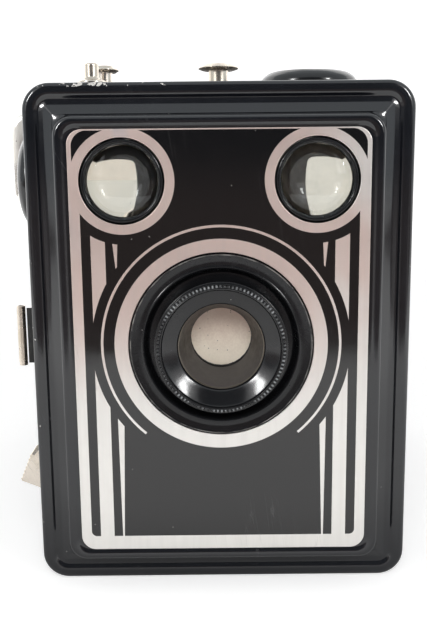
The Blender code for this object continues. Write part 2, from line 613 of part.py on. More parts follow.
def build_shutter():
    """Shutter case, blade, board and the blade's pivot."""
    depth_inside = BLADE_THICKNESS + 2 * CLEARANCE
    rim_depth = SHUTTER_CASE_SHEET + depth_inside - CLEARANCE
    inner = SHUTTER_CASE_RADIUS - SHUTTER_CASE_SHEET
    hole = FUNNEL_END_RADIUS
    case = [
        (hole, 0.0), (SHUTTER_CASE_RADIUS, 0.0), (SHUTTER_CASE_RADIUS, -rim_depth), (inner, -rim_depth),
        (inner, -SHUTTER_CASE_SHEET), (hole, -SHUTTER_CASE_SHEET),
    ]
    add_object("shutter_case", turned(case, LARGE_STEPS), "matt_black", on_lens_axis(CASE_DEPTH), FORWARD)

    board_half = SHELL_INNER_HALF - CLEARANCE
    middle = (BOARD_TOP + BOARD_BOTTOM) / 2
    outline = rounded_rectangle(board_half, (BOARD_TOP - BOARD_BOTTOM) / 2, 2 * MM, 2)
    board = add_object("shutter_board", extruded(outline, BOARD_THICKNESS, -BOARD_THICKNESS), "matt_black",
                       (0, PLATE_Y + BOARD_DEPTH, middle), FORWARD)
    pivot_x, pivot_z = pivot_place()
    hole_radius = PIVOT_RADIUS + CLEARANCE
    board_middle = PLATE_Y + BOARD_DEPTH
    cut(board, [
        round_cutter("hole_board_lens", SHUTTER_HOLE_RADIUS, 3 * MM, (0, board_middle, LENS_HEIGHT), FORWARD),
        round_cutter("hole_board_pivot", hole_radius, 3 * MM, (pivot_x, board_middle, pivot_z), FORWARD,
                     PIN_STEPS),
    ])

    # the blade: a disc over the lens and a smaller one round the pivot, in one outline
    lens_x, lens_y = -pivot_x, LENS_HEIGHT - pivot_z
    towards = math.atan2(lens_y, lens_x)
    distance = BLADE_PIVOT_DISTANCE
    lean = math.acos((BLADE_RADIUS - BLADE_HUB_RADIUS) / distance)
    outline = []
    for step in range(21):
        angle = towards - (math.pi - lean) + step / 20 * 2 * (math.pi - lean)
        outline.append((lens_x + BLADE_RADIUS * math.cos(angle), lens_y + BLADE_RADIUS * math.sin(angle)))
    for step in range(9):
        angle = towards + (math.pi - lean) + step / 8 * 2 * lean
        outline.append((BLADE_HUB_RADIUS * math.cos(angle), BLADE_HUB_RADIUS * math.sin(angle)))
    blade = add_object("shutter_blade", extruded(outline, BLADE_THICKNESS, -BLADE_THICKNESS), "blade",
                       (pivot_x, PLATE_Y + BLADE_DEPTH, pivot_z), FORWARD)
    cut(blade, [round_cutter("hole_blade", hole_radius, 2 * MM,
                             (pivot_x, PLATE_Y + BLADE_DEPTH, pivot_z), FORWARD, PIN_STEPS)])

    back = BOARD_BACK_DEPTH + CLEARANCE
    front = CASE_DEPTH + SHUTTER_CASE_SHEET + CLEARANCE
    pin = [
        (0.0, -front), (0.0, -back - PIVOT_HEAD_THICKNESS), (PIVOT_HEAD_RADIUS, -back - PIVOT_HEAD_THICKNESS),
        (PIVOT_HEAD_RADIUS, -back), (PIVOT_RADIUS, -back), (PIVOT_RADIUS, -front),
    ]
    add_object("blade_pivot", turned(pin, PIN_STEPS), "steel", (pivot_x, PLATE_Y, pivot_z), FORWARD)


def build_aperture_slide():
    """Strip with three stops, the yellow filter in its middle one, and the rolled pull tab."""
    inner_end = SLIDE_PITCH * (SLIDE_STOPS - 1) + SLIDE_END_MARGIN
    outer_end = -COVER_HALF - SLIDE_OUTSIDE
    half = SLIDE_HEIGHT / 2
    outline = [(outer_end, -half), (inner_end, -half), (inner_end, half), (outer_end, half)]
    slide = add_object("aperture_slide", extruded(outline, SLIDE_THICKNESS, -SLIDE_THICKNESS), "steel",
                       on_lens_axis(SLIDE_DEPTH), FORWARD, smooth=False)
    radii = (LARGE_STOP_RADIUS, FILTER_RADIUS + CLEARANCE, SMALL_STOP_RADIUS)
    middle_y = PLATE_Y + (SLIDE_DEPTH + SLIDE_BACK_DEPTH) / 2
    tools = []
    for index, radius in enumerate(radii):
        tools.append(round_cutter(f"hole_stop_{index}", radius, 2 * MM,
                                  (index * SLIDE_PITCH, middle_y, LENS_HEIGHT), FORWARD))
    cut(slide, tools)
    filter_outline = circle(0, 0, FILTER_RADIUS)
    thickness = min(FILTER_THICKNESS, SLIDE_THICKNESS)
    add_object("yellow_filter", extruded(filter_outline, thickness, -thickness / 2), "yellow_glass",
               (SLIDE_PITCH, middle_y, LENS_HEIGHT), FORWARD)

    # the tab: a rolled sheet that stands on the strip's end, seen from above as an open curl
    roll = TAB_ROLL_RADIUS
    curl = []
    inner = roll - TAB_SHEET
    steps = 14
    for step in range(steps + 1):
        angle = math.radians(-20.0 + 320.0 * step / steps)
        curl.append((roll * math.cos(angle), roll * math.sin(angle)))
    for step in range(steps, -1, -1):
        angle = math.radians(-20.0 + 320.0 * step / steps)
        curl.append((inner * math.cos(angle), inner * math.sin(angle)))
    place = (outer_end - CLEARANCE - roll, middle_y, LENS_HEIGHT - TAB_HEIGHT / 2)
    add_object("pull_tab", extruded(curl, TAB_HEIGHT), "nickel", place)


def build_taking_lens():
    """Meniscus lens, hollow side forward, held in a flanged cell."""
    cell_front = -CLEARANCE
    bore = LENS_RADIUS + CLEARANCE
    lip = LENS_RADIUS - 0.8 * MM
    sheet = LENS_CELL_SHEET
    cell = [
        (lip, cell_front), (LENS_CELL_RADIUS, cell_front), (LENS_CELL_RADIUS, cell_front - sheet),
        (bore + sheet, cell_front - sheet), (bore + sheet, cell_front - LENS_CELL_DEPTH),
        (bore, cell_front - LENS_CELL_DEPTH), (bore, cell_front - sheet), (lip, cell_front - sheet),
    ]
    add_object("lens_cell", turned(cell), "matt_black", on_lens_axis(CELL_DEPTH - CLEARANCE), FORWARD)
    front = -sheet - CLEARANCE - 0.3 * MM
    back = front - LENS_THICKNESS
    hollow = 0.7 * MM
    bulge = 0.9 * MM
    lens = [(0.0, front - hollow)]
    for step in range(1, 5):
        share = step / 4
        lens.append((LENS_RADIUS * share, front - hollow * (1 - share * share)))
    lens.append((LENS_RADIUS, back + bulge))
    for step in range(3, 0, -1):
        share = step / 4
        lens.append((LENS_RADIUS * share, back + bulge * share * share))
    lens.append((0.0, back))
    add_object("taking_lens", turned(lens), "glass", on_lens_axis(CELL_DEPTH), FORWARD)


# ---- release lever ------------------------------------------------------------------------------
def build_release():
    """Lever that passes through its slot, its pivot and its spring."""
    plate_y = PLATE_Y + LEVER_BEHIND_PLATE
    half_arm = LEVER_ARM_HEIGHT / 2
    inner_x = -COVER_HALF - 2 * CLEARANCE - LEVER_PIVOT_X
    outer_x = -COVER_HALF - THUMB_REACH - LEVER_PIVOT_X
    top = THUMB_TOP - LEVER_PIVOT_Z
    bottom = THUMB_BOTTOM - LEVER_PIVOT_Z
    lean = 2.6 * MM
    outline = []
    reach_angle = math.asin(half_arm / LEVER_HUB_RADIUS)
    for step in range(13):
        angle = -(math.pi - reach_angle) + step / 12 * 2 * (math.pi - reach_angle)
        outline.append((LEVER_HUB_RADIUS * math.cos(angle), LEVER_HUB_RADIUS * math.sin(angle)))
    neck = -COVER_HALF - CLEARANCE - LEVER_PIVOT_X
    outline += [
        (neck, half_arm), (inner_x, top), (inner_x - 1.2 * MM, top), (outer_x + lean, top - 0.9 * MM),
        (outer_x, bottom + 1.5 * MM), (inner_x - 0.9 * MM, bottom), (neck, -half_arm),
    ]
    lever = add_object("release_lever", extruded(outline, LEVER_THICKNESS, -LEVER_THICKNESS), "nickel",
                       (LEVER_PIVOT_X, plate_y, LEVER_PIVOT_Z), FORWARD)
    pivot_y = plate_y + LEVER_THICKNESS / 2
    pivot_centre = (LEVER_PIVOT_X, pivot_y, LEVER_PIVOT_Z)
    cut(lever, [round_cutter("hole_lever", PIVOT_RADIUS + CLEARANCE, 3 * MM, pivot_centre, FORWARD,
                             PIN_STEPS)])

    # thumb rest: the plate's outer edge turned back, with its ribs across
    edge_top = (LEVER_PIVOT_X + outer_x + lean, LEVER_PIVOT_Z + top - 0.9 * MM)
    edge_bottom = (LEVER_PIVOT_X + outer_x, LEVER_PIVOT_Z + bottom + 1.5 * MM)
    run_x = edge_bottom[0] - edge_top[0]
    run_z = edge_bottom[1] - edge_top[1]
    length = math.hypot(run_x, run_z)
    angle = math.atan2(run_z, run_x)
    rest = [(0.0, 0.0), (length, 0.0), (length, -THUMB_SHEET)]
    rib_pitch = length / RIB_COUNT
    for rib in range(RIB_COUNT):
        middle = length - (rib + 0.5) * rib_pitch
        for step in range(5):
            turn = math.pi * step / 4
            rest.append((middle + RIB_RADIUS * math.cos(turn), -THUMB_SHEET - RIB_RADIUS * math.sin(turn)))
    rest.append((0.0, -THUMB_SHEET))
    thumb = cutter("thumb_rest", extruded(rest, THUMB_WIDTH, -THUMB_WIDTH),
                   (edge_top[0], plate_y, edge_top[1]), (math.pi / 2, -angle, 0.0))
    join(lever, [thumb])

    front = BOARD_BACK_DEPTH + CLEARANCE
    back = LEVER_BEHIND_PLATE + LEVER_THICKNESS + CLEARANCE
    shoulder = LEVER_BEHIND_PLATE - CLEARANCE
    shoulder_radius = PIVOT_HEAD_RADIUS
    pin = [
        (0.0, -front), (0.0, -back - PIVOT_HEAD_THICKNESS), (PIVOT_HEAD_RADIUS, -back - PIVOT_HEAD_THICKNESS),
        (PIVOT_HEAD_RADIUS, -back), (PIVOT_RADIUS, -back), (PIVOT_RADIUS, -shoulder),
        (shoulder_radius, -shoulder), (shoulder_radius, -front),
    ]
    add_object("lever_pivot", turned(pin, PIN_STEPS), "steel", (LEVER_PIVOT_X, PLATE_Y, LEVER_PIVOT_Z),
               FORWARD)


def build_release_spring():
    """Coil round the lever's pivot shoulder, with a straight leg at each end."""
    curve = bpy.data.curves.new("release_spring", "CURVE")
    curve.dimensions = "3D"
    curve.bevel_depth = SPRING_WIRE
    curve.bevel_resolution = 1
    curve.use_fill_caps = True
    start = BOARD_BACK_DEPTH + CLEARANCE + SPRING_WIRE
    radius = SPRING_RADIUS + SPRING_WIRE + CLEARANCE
    per_turn = 12
    points = [(-radius, -5 * MM, -start)]
    for step in range(SPRING_TURNS * per_turn + 1):
        angle = math.pi + 2 * math.pi * step / per_turn
        depth = start + SPRING_PITCH * step / per_turn
        points.append((radius * math.cos(angle), radius * math.sin(angle), -depth))
    points.append((-radius, 5 * MM, -start - SPRING_PITCH * SPRING_TURNS))
    spline = curve.splines.new("POLY")
    spline.points.add(len(points) - 1)
    for point, (x, y, z) in zip(spline.points, points):
        point.co = (x, y, z, 1.0)
    obj = bpy.data.objects.new("release_spring", curve)
    bpy.context.scene.collection.objects.link(obj)
    obj.location = (LEVER_PIVOT_X, PLATE_Y, LEVER_PIVOT_Z)
    obj.rotation_euler = FORWARD
    colour, roughness, metallic, alpha = FINISHES["steel"]
    curve.materials.append(material("release_spring", colour, roughness, metallic, alpha))


# ---- finders ------------------------------------------------------------------------------------
def build_front_finder(side_name, centre_x):
    """Front sleeve with a rounded lip, and the convex lens in it."""
    place = (centre_x, PLATE_Y, FINDER_Z)
    outer = FINDER_SLEEVE_RADIUS
    inner = FINDER_LENS_RADIUS + CLEARANCE
    back = -FINDER_SLEEVE_DEPTH
    sleeve = [
        (inner, back), (outer, back), (outer, -0.4 * MM), (outer - 0.25 * MM, -0.05 * MM),
        (outer - 0.5 * MM, -0.05 * MM), (inner + 0.1 * MM, -0.4 * MM), (inner, -0.9 * MM),
    ]
    add_object(f"finder_sleeve_{side_name}", turned(sleeve), "black_plastic", place, FORWARD)
    front = -1.9 * MM
    bulge = 1.1 * MM
    lens = [(0.0, front + bulge), (0.0, front - 1.6 * MM), (FINDER_LENS_RADIUS, front - 1.6 * MM)]
    for step in range(4, 0, -1):
        share = step / 4
        lens.append((FINDER_LENS_RADIUS * share, front + bulge * (1 - share * share)))
    add_object(f"finder_lens_{side_name}", turned(lens), "glass", place, FORWARD)


def mirror_half_length():
    """Half the mirror's length, so that its corners just clear the housing's walls."""
    slope = math.sqrt(0.5)
    return (FINDER_BOX_HALF - CLEARANCE - MIRROR_THICKNESS / 2 * slope) / slope


def build_finder_housing(name, centre_x, low, high, opening):
    """Open-fronted sheet box between `low` and `high` corners, also open towards `opening`."""
    size = [high[i] - low[i] for i in range(3)]
    centre = [(high[i] + low[i]) / 2 for i in range(3)]
    housing = add_object(name, block(*size), "matt_black", centre, smooth=False)
    wall = FINDER_BOX_WALL
    inner_low = [low[i] + wall for i in range(3)]
    inner_high = [high[i] - wall for i in range(3)]
    bore_radius = FINDER_SLEEVE_RADIUS + CLEARANCE
    if opening == "left":
        inner_low[0] = low[0] - wall
    else:
        inner_high[2] = high[2] + wall
    inner_size = [inner_high[i] - inner_low[i] for i in range(3)]
    inner_centre = [(inner_high[i] + inner_low[i]) / 2 for i in range(3)]
    hollow = cutter(f"hollow_{name}", block(*inner_size), inner_centre)
    front = round_cutter(f"front_{name}", bore_radius, 2 * wall, (centre_x, low[1], FINDER_Z), FORWARD)
    cut(housing, [hollow, front])


def build_finders():
    """Two reflex finders: the left one looks out at the side, the right one at the top."""
    wall = FINDER_BOX_WALL
    half = FINDER_BOX_HALF
    back = FINDER_Y + half + wall
    left_x = -FINDER_HALF_SPACING
    right_x = FINDER_HALF_SPACING
    build_front_finder("left", left_x)
    build_front_finder("right", right_x)
    build_finder_housing(
        "finder_housing_left", left_x,
        (-SHELL_INNER_HALF + CLEARANCE, FINDER_BOX_FRONT_Y, FINDER_Z - half - wall),
        (left_x + half + wall, back, FINDER_Z + half + wall), "left")
    build_finder_housing(
        "finder_housing_right", right_x,
        (right_x - half - wall, FINDER_BOX_FRONT_Y, FINDER_Z - half - wall),
        (right_x + half + wall, back, SHELL_INNER_TOP - CLEARANCE), "up")
    length = 2 * mirror_half_length()
    width = min(MIRROR_WIDTH, FINDER_BOX_SIZE - 2 * CLEARANCE)
    add_object("finder_mirror_left", block(length, MIRROR_THICKNESS, width), "mirror",
               (left_x, FINDER_Y, FINDER_Z), (0.0, 0.0, -math.pi / 4), smooth=False)
    add_object("finder_mirror_right", block(width, MIRROR_THICKNESS, length), "mirror",
               (right_x, FINDER_Y, FINDER_Z), (-math.pi / 4, 0.0, 0.0), smooth=False)

    outer = WINDOW_BEZEL_RADIUS
    rise = WINDOW_BEZEL_RISE
    bore = WINDOW_RADIUS + CLEARANCE
    collar = WINDOW_COLLAR_RADIUS
    depth = -(SHELL_INSET + SHELL_WALL)
    bezel = [
        (bore, depth), (collar, depth), (collar, CLEARANCE), (outer, CLEARANCE), (outer - 0.1 * MM, 1.0 * MM),
        (outer - 0.8 * MM, rise * 0.65), (outer - 1.8 * MM, rise * 0.88), (outer - 2.6 * MM, rise),
        (bore + 0.1 * MM, rise - 0.2 * MM), (bore, rise - 1.0 * MM),
    ]
    crown = 0.8 * MM
    glass = [(0.0, 1.2 * MM + crown), (0.0, -0.6 * MM), (WINDOW_RADIUS, -0.6 * MM)]
    for step in range(4, 0, -1):
        share = step / 4
        glass.append((WINDOW_RADIUS * share, 1.2 * MM + crown * (1 - share * share)))
    side = ((-COVER_HALF, FINDER_Y, FINDER_Z), LEFTWARD)
    top = ((right_x, FINDER_Y, COVER_TOP), UP)
    for where, (place, turn) in (("side", side), ("top", top)):
        add_object(f"window_bezel_{where}", turned(bezel), "black_plastic", place, turn)
        add_object(f"window_glass_{where}", turned(glass), "glass", place, turn)


# ---- fittings on top and tripod bushes ----------------------------------------------------------
def mushroom_stud(name, place, head_radius, stem_radius, finish):
    """Riveted stud with a thin domed head, flared underneath."""
    height = STUD_HEIGHT
    through = -(SHELL_INSET + SHELL_WALL + CLEARANCE)
    rivet = through - RIVET_HEAD_THICKNESS
    profile = [
        (0.0, height), (head_radius * 0.3, height - 0.05 * MM), (head_radius * 0.6, height - 0.35 * MM),
        (head_radius * 0.85, height - 0.95 * MM), (head_radius, height - 1.45 * MM),
        (head_radius - 0.08 * MM, height - 1.75 * MM), (head_radius * 0.75, height - 1.85 * MM),
        (stem_radius + 0.25 * MM, height - 2.2 * MM), (stem_radius, height - 2.7 * MM),
        (stem_radius, CLEARANCE), (STUD_SHAFT_RADIUS, CLEARANCE), (STUD_SHAFT_RADIUS, through),
        (RIVET_HEAD_RADIUS, through), (RIVET_HEAD_RADIUS, rivet), (0.0, rivet),
    ]
    add_object(name, turned(list(reversed(profile)), SMALL_STEPS), finish, place, UP)


def build_top_fittings():
    """Strap studs, the flash unit's stud and its contact pin on an insulator."""
    mushroom_stud("strap_stud_front", (0, STUD_FRONT_Y, COVER_TOP), STUD_HEAD_RADIUS, STUD_STEM_RADIUS,
                  "nickel")
    mushroom_stud("strap_stud_rear", (0, STUD_REAR_Y, COVER_TOP), STUD_HEAD_RADIUS,
                  STUD_STEM_RADIUS, "nickel")
    mushroom_stud("flash_stud", (SMALL_STUD_X, SMALL_STUD_Y, COVER_TOP), SMALL_STUD_HEAD_RADIUS,
                  SMALL_STUD_STEM_RADIUS, "nickel")
    place = (CONTACT_X, CONTACT_Y, COVER_TOP)
    through = -(SHELL_INSET + SHELL_WALL + CLEARANCE)
    disc_top = CLEARANCE + 0.6 * MM
    shaft = CONTACT_RADIUS - 0.3 * MM
    insulator = [
        (shaft + CLEARANCE, through), (INSULATOR_COLLAR_RADIUS, through),
        (INSULATOR_COLLAR_RADIUS, CLEARANCE), (INSULATOR_RADIUS, CLEARANCE), (INSULATOR_RADIUS, disc_top),
        (shaft + CLEARANCE, disc_top),
    ]
    add_object("contact_insulator", turned(insulator, SMALL_STEPS), "black_plastic", place, UP)
    seat = disc_top + CLEARANCE
    radius = CONTACT_RADIUS
    flange = CONTACT_FLANGE_RADIUS
    height = CONTACT_HEIGHT
    rivet = through - CLEARANCE
    pin = [
        (0.0, rivet - RIVET_HEAD_THICKNESS), (RIVET_HEAD_RADIUS, rivet - RIVET_HEAD_THICKNESS),
        (RIVET_HEAD_RADIUS, rivet), (shaft, rivet), (shaft, seat), (flange, seat),
        (flange, seat + 0.25 * MM), (radius + 0.8 * MM, seat + 0.55 * MM), (radius, seat + 0.8 * MM),
        (radius, height - 0.4 * MM), (radius - 0.4 * MM, height), (0.0, height),
    ]
    add_object("flash_contact", turned(pin, SMALL_STEPS), "chrome", place, UP)


def build_tripod_bushes():
    """Threaded bushes, flush with the covering and flanged inside the shell."""
    recess = 0.15 * MM
    flange = SHELL_INSET + SHELL_WALL + CLEARANCE
    profile = [
        (BUSH_BORE_RADIUS, BUSH_LENGTH), (BUSH_BORE_RADIUS, recess), (BUSH_RADIUS, recess),
        (BUSH_RADIUS, flange), (BUSH_FLANGE_RADIUS, flange), (BUSH_FLANGE_RADIUS, flange + 0.8 * MM),
        (BUSH_RADIUS, flange + 0.8 * MM), (BUSH_RADIUS, BUSH_LENGTH),
    ]
    add_object("tripod_bush_bottom", turned(profile, SMALL_STEPS), "steel", (0, BUSH_Y, COVER_INSET), UP)
    add_object("tripod_bush_side", turned(profile, SMALL_STEPS), "steel", (COVER_HALF, BUSH_Y, LENS_HEIGHT),
               LEFTWARD)


# ---- film carrier -------------------------------------------------------------------------------
def side_outline():
    """The carrier's side plate in (y, z), with its corners cut off."""
    front = CARRIER_FRONT_Y
    back = ROLLER_Y + TRUNNION_RADIUS + CLEARANCE + CARRIER_EDGE
    low = SHELL_INNER_BOTTOM + CARRIER_DROP
    high = SHELL_INNER_TOP - CARRIER_DROP
    chamfer = 6 * MM
    return [
        (front + chamfer, low), (back - chamfer / 3, low), (back, low + chamfer / 3),
        (back, high - chamfer / 3), (back - chamfer / 3, high), (front + chamfer, high),
        (front, high - chamfer), (front, low + chamfer),
    ]


def carrier_side(name, side):
    """One side plate, its inner face at the spools' bearings. `side` is -1 on the left, 1 on the right."""
    builder = bmesh.new()
    outer_x = side * CARRIER_OUTER_HALF
    inner_x = side * CARRIER_INNER_HALF
    faces = []
    for x in (outer_x, inner_x):
        faces.append([builder.verts.new((x, y, z)) for y, z in side_outline()])
    count = len(faces[0])
    builder.faces.new(faces[0])
    builder.faces.new(faces[1])
    for index in range(count):
        other = (index + 1) % count
        builder.faces.new((faces[0][index], faces[0][other], faces[1][other], faces[1][index]))
    plate = add_object(name, builder, "matt_black", (0, 0, 0), smooth=False)
    tools = []
    for place_z in (LENS_HEIGHT - ROLLER_OFFSET, LENS_HEIGHT + ROLLER_OFFSET):
        tools.append(round_cutter(f"hole_{name}_{place_z:.4f}", TRUNNION_RADIUS + CLEARANCE, 3 * MM,
                                  (inner_x, ROLLER_Y, place_z), RIGHTWARD, PIN_STEPS))
    if side < 0:
        tools.append(round_cutter(f"hole_{name}_key", KEY_SHAFT_RADIUS + CLEARANCE, 3 * MM,
                                  (inner_x, SPOOL_Y, TAKEUP_Z), RIGHTWARD, SMALL_STEPS))
    cut(plate, tools)
    return plate


def spool_pin(name, side, height):
    """Fixed bearing pin that reaches into a spool's bore, welded on to a side plate."""
    middle_of_sheet = CARRIER_OUTER_HALF - CARRIER_SHEET / 2
    tip = SPOOL_LENGTH / 2 - PIN_ENGAGEMENT
    length = middle_of_sheet - tip
    turn = RIGHTWARD if side > 0 else LEFTWARD
    return cutter(name, extruded(circle(0, 0, SPOOL_PIN_RADIUS, SMALL_STEPS), length),
                  (side * tip, SPOOL_Y, height), turn)


def build_carrier():
    """The film carrier: sides, front plate, light cone and film gate."""
    left = carrier_side("carrier_side_left", -1)
    right = carrier_side("carrier_side_right", 1)
    join(left, [spool_pin("pin_supply_left", -1, SUPPLY_Z)])
    join(right, [spool_pin("pin_supply_right", 1, SUPPLY_Z), spool_pin("pin_takeup_right", 1, TAKEUP_Z)])

    half_width = CARRIER_INNER_HALF - CLEARANCE
    outline = rounded_rectangle(half_width, FRONT_PLATE_HALF_HEIGHT, 1 * MM, 1)
    front_plate = add_object("carrier_front", extruded(outline, CARRIER_SHEET, -CARRIER_SHEET), "matt_black",
                             (0, CARRIER_FRONT_Y, LENS_HEIGHT), FORWARD, smooth=False)
    window = block(2 * (CONE_FRONT_HALF_WIDTH - CONE_SHEET), 6 * MM,
                   2 * (CONE_FRONT_HALF_HEIGHT - CONE_SHEET))
    cut(front_plate, [cutter("window_carrier_front", window, (0, CARRIER_FRONT_Y, LENS_HEIGHT))])

    gate_outline = rounded_rectangle(half_width, GATE_HEIGHT / 2 + GATE_BAR, 0.5 * MM, 1)
    gate = add_object("film_gate", extruded(gate_outline, GATE_SHEET, -GATE_SHEET), "matt_black",
                      (0, GATE_Y, LENS_HEIGHT), FORWARD, smooth=False)
    aperture = block(GATE_WIDTH, 6 * MM, GATE_HEIGHT)
    cut(gate, [cutter("window_film_gate", aperture, (0, GATE_Y, LENS_HEIGHT))])

    front_y = CARRIER_FRONT_Y + CARRIER_SHEET + CLEARANCE
    back_y = GATE_Y - CLEARANCE
    rear_half_width = GATE_WIDTH / 2 + CONE_SHEET
    rear_half_height = GATE_HEIGHT / 2 + CONE_SHEET
    rings = []
    for half_w, half_h, y in ((CONE_FRONT_HALF_WIDTH, CONE_FRONT_HALF_HEIGHT, front_y),
                              (rear_half_width, rear_half_height, back_y)):
        rings.append((rounded_rectangle(half_w, half_h, 1.2 * MM, 1), -y))
    for half_w, half_h, y in ((rear_half_width, rear_half_height, back_y),
                              (CONE_FRONT_HALF_WIDTH, CONE_FRONT_HALF_HEIGHT, front_y)):
        rings.append((rounded_rectangle(half_w - CONE_SHEET, half_h - CONE_SHEET, 0.6 * MM, 1), -y))
    add_object("light_cone", lofted(rings, closed=True), "matt_black", (0, 0, LENS_HEIGHT), FORWARD,
               smooth=False)

    length = CARRIER_INNER_HALF - CLEARANCE
    trunnion_end = CARRIER_OUTER_HALF
    roller = [
        (0.0, -trunnion_end), (TRUNNION_RADIUS, -trunnion_end), (TRUNNION_RADIUS, -length),
        (ROLLER_RADIUS, -length), (ROLLER_RADIUS, length), (TRUNNION_RADIUS, length),
        (TRUNNION_RADIUS, trunnion_end), (0.0, trunnion_end),
    ]
    for where, sign in (("bottom", -1), ("top", 1)):
        add_object(f"film_roller_{where}", turned(roller, PIN_STEPS), "steel",
                   (0, ROLLER_Y, LENS_HEIGHT + sign * ROLLER_OFFSET), RIGHTWARD)


def build_spool(name, height):
    """Roll-film spool: a core with a bore right through and a flange at each end."""
    end = SPOOL_LENGTH / 2
    inner = end - SPOOL_FLANGE_THICKNESS
    profile = [
        (SPOOL_BORE_RADIUS, -end), (SPOOL_FLANGE_RADIUS, -end), (SPOOL_FLANGE_RADIUS, -inner),
        (SPOOL_CORE_RADIUS, -inner), (SPOOL_CORE_RADIUS, inner), (SPOOL_FLANGE_RADIUS, inner),
        (SPOOL_FLANGE_RADIUS, end), (SPOOL_BORE_RADIUS, end),
    ]
    add_object(name, turned(profile), "steel", (0, SPOOL_Y, height), RIGHTWARD)


def build_winding_key():
    """Key shaft that reaches into the take-up spool, with a flat wing outside."""
    tip = -(SPOOL_LENGTH / 2 - PIN_ENGAGEMENT)
    boss_inner = -COVER_HALF - CLEARANCE
    boss_outer = boss_inner - KEY_BOSS_LENGTH
    profile = [
        (0.0, -tip), (KEY_SHAFT_RADIUS, -tip), (KEY_SHAFT_RADIUS, -boss_inner),
        (KEY_BOSS_RADIUS, -boss_inner), (KEY_BOSS_RADIUS, -boss_outer + 0.5 * MM),
        (KEY_BOSS_RADIUS - 1.0 * MM, -boss_outer + 1.2 * MM), (0.0, -boss_outer + 1.2 * MM),
    ]
    key = add_object("winding_key", turned(profile, SMALL_STEPS), "chrome", (0, SPOOL_Y, TAKEUP_Z), LEFTWARD)
    wing_inner = boss_outer + 0.6 * MM
    half_reach = KEY_WING_REACH / 2
    radius = min(KEY_WING_RADIUS, half_reach - 0.1 * MM)
    outline = rounded_rectangle(half_reach, KEY_WING_HEIGHT / 2, radius, 4)
    wing = cutter("key_wing", extruded(outline, KEY_WING_THICKNESS, -KEY_WING_THICKNESS / 2),
                  (wing_inner - half_reach, SPOOL_Y, TAKEUP_Z), FORWARD)
    join(key, [wing])


# ---- back door ----------------------------------------------------------------------------------
def build_door():
    """Back door pan, its covering, the red window with its ring, and the catch strip."""
    half_height = FRONT_HEIGHT / 2
    outer = rounded_rectangle(HALF_WIDTH, half_height, CORNER_RADIUS)
    edge = rounded_rectangle(HALF_WIDTH - 0.4 * MM, half_height - 0.4 * MM, CORNER_RADIUS - 0.4 * MM)
    inner = rounded_rectangle(HALF_WIDTH - DOOR_SHEET, half_height - DOOR_SHEET, CORNER_RADIUS - DOOR_SHEET)
    floor = -DOOR_BACK_Y + DOOR_SHEET
    rings = [
        (inner, floor), (inner, -DOOR_FRONT_Y), (outer, -DOOR_FRONT_Y), (outer, -DOOR_BACK_Y + 0.4 * MM),
        (edge, -DOOR_BACK_Y),
    ]
    door = add_object("back_door", lofted(rings), "enamel", (0, 0, MIDDLE_Z), FORWARD)
    window_place = (RED_WINDOW_X, DOOR_BACK_Y, RED_WINDOW_Z)
    hole = round_cutter("hole_red_window", RED_WINDOW_RADIUS + CLEARANCE, 4 * MM, window_place, BACKWARD)
    cut(door, [hole])
    margin = 3.5 * MM
    cover_outline = rounded_rectangle(HALF_WIDTH - margin, half_height - margin, CORNER_RADIUS - 2 * MM)
    cover_front = -(DOOR_BACK_Y + CLEARANCE)
    cover = add_object("door_leatherette", extruded(cover_outline, -COVER_THICKNESS, cover_front),
                       "leatherette", (0, 0, MIDDLE_Z), FORWARD)
    cut(cover, [hole])
    thickness = RED_WINDOW_THICKNESS
    add_object("red_window", extruded(circle(0, 0, RED_WINDOW_RADIUS), thickness, -DOOR_SHEET), "ruby",
               window_place, BACKWARD)
    seat = CLEARANCE + COVER_THICKNESS + CLEARANCE
    ring_inner = RED_WINDOW_RADIUS - 0.2 * MM
    ring_outer = RED_WINDOW_RADIUS + RED_RING_WIDTH
    ring = [
        (ring_inner, seat), (ring_outer, seat), (ring_outer, seat + RED_RING_RISE * 0.5),
        (ring_outer - 0.5 * MM, seat + RED_RING_RISE), (ring_inner + 0.3 * MM, seat + RED_RING_RISE),
    ]
    add_object("red_window_ring", turned(ring), "nickel", window_place, BACKWARD)
    build_catch()


def build_catch():
    """Springy strip that reaches forward from the door over a low button on the body."""
    gap = CLEARANCE
    inner_x = -HALF_WIDTH - 2 * gap
    outer_x = inner_x - CATCH_SHEET
    back_y = DOOR_BACK_Y + gap
    front_y = DOOR_FRONT_Y - CATCH_REACH
    fold = 3.2 * MM
    outline = [
        (inner_x, front_y), (inner_x, back_y), (-HALF_WIDTH + fold, back_y),
        (-HALF_WIDTH + fold, back_y + CATCH_SHEET), (outer_x, back_y + CATCH_SHEET), (outer_x, front_y),
    ]
    add_object("door_catch", extruded(outline, CATCH_WIDTH, -CATCH_WIDTH / 2), "nickel", (0, 0, MIDDLE_Z),
               smooth=False)


def knuckle_bands():
    """Heights of the hinge's knuckles, from below: body, door, body."""
    step = HINGE_LENGTH / KNUCKLE_COUNT
    low = MIDDLE_Z - HINGE_LENGTH / 2
    bands = []
    for index in range(KNUCKLE_COUNT):
        bands.append((low + index * step + CLEARANCE / 2, low + (index + 1) * step - CLEARANCE / 2))
    return bands


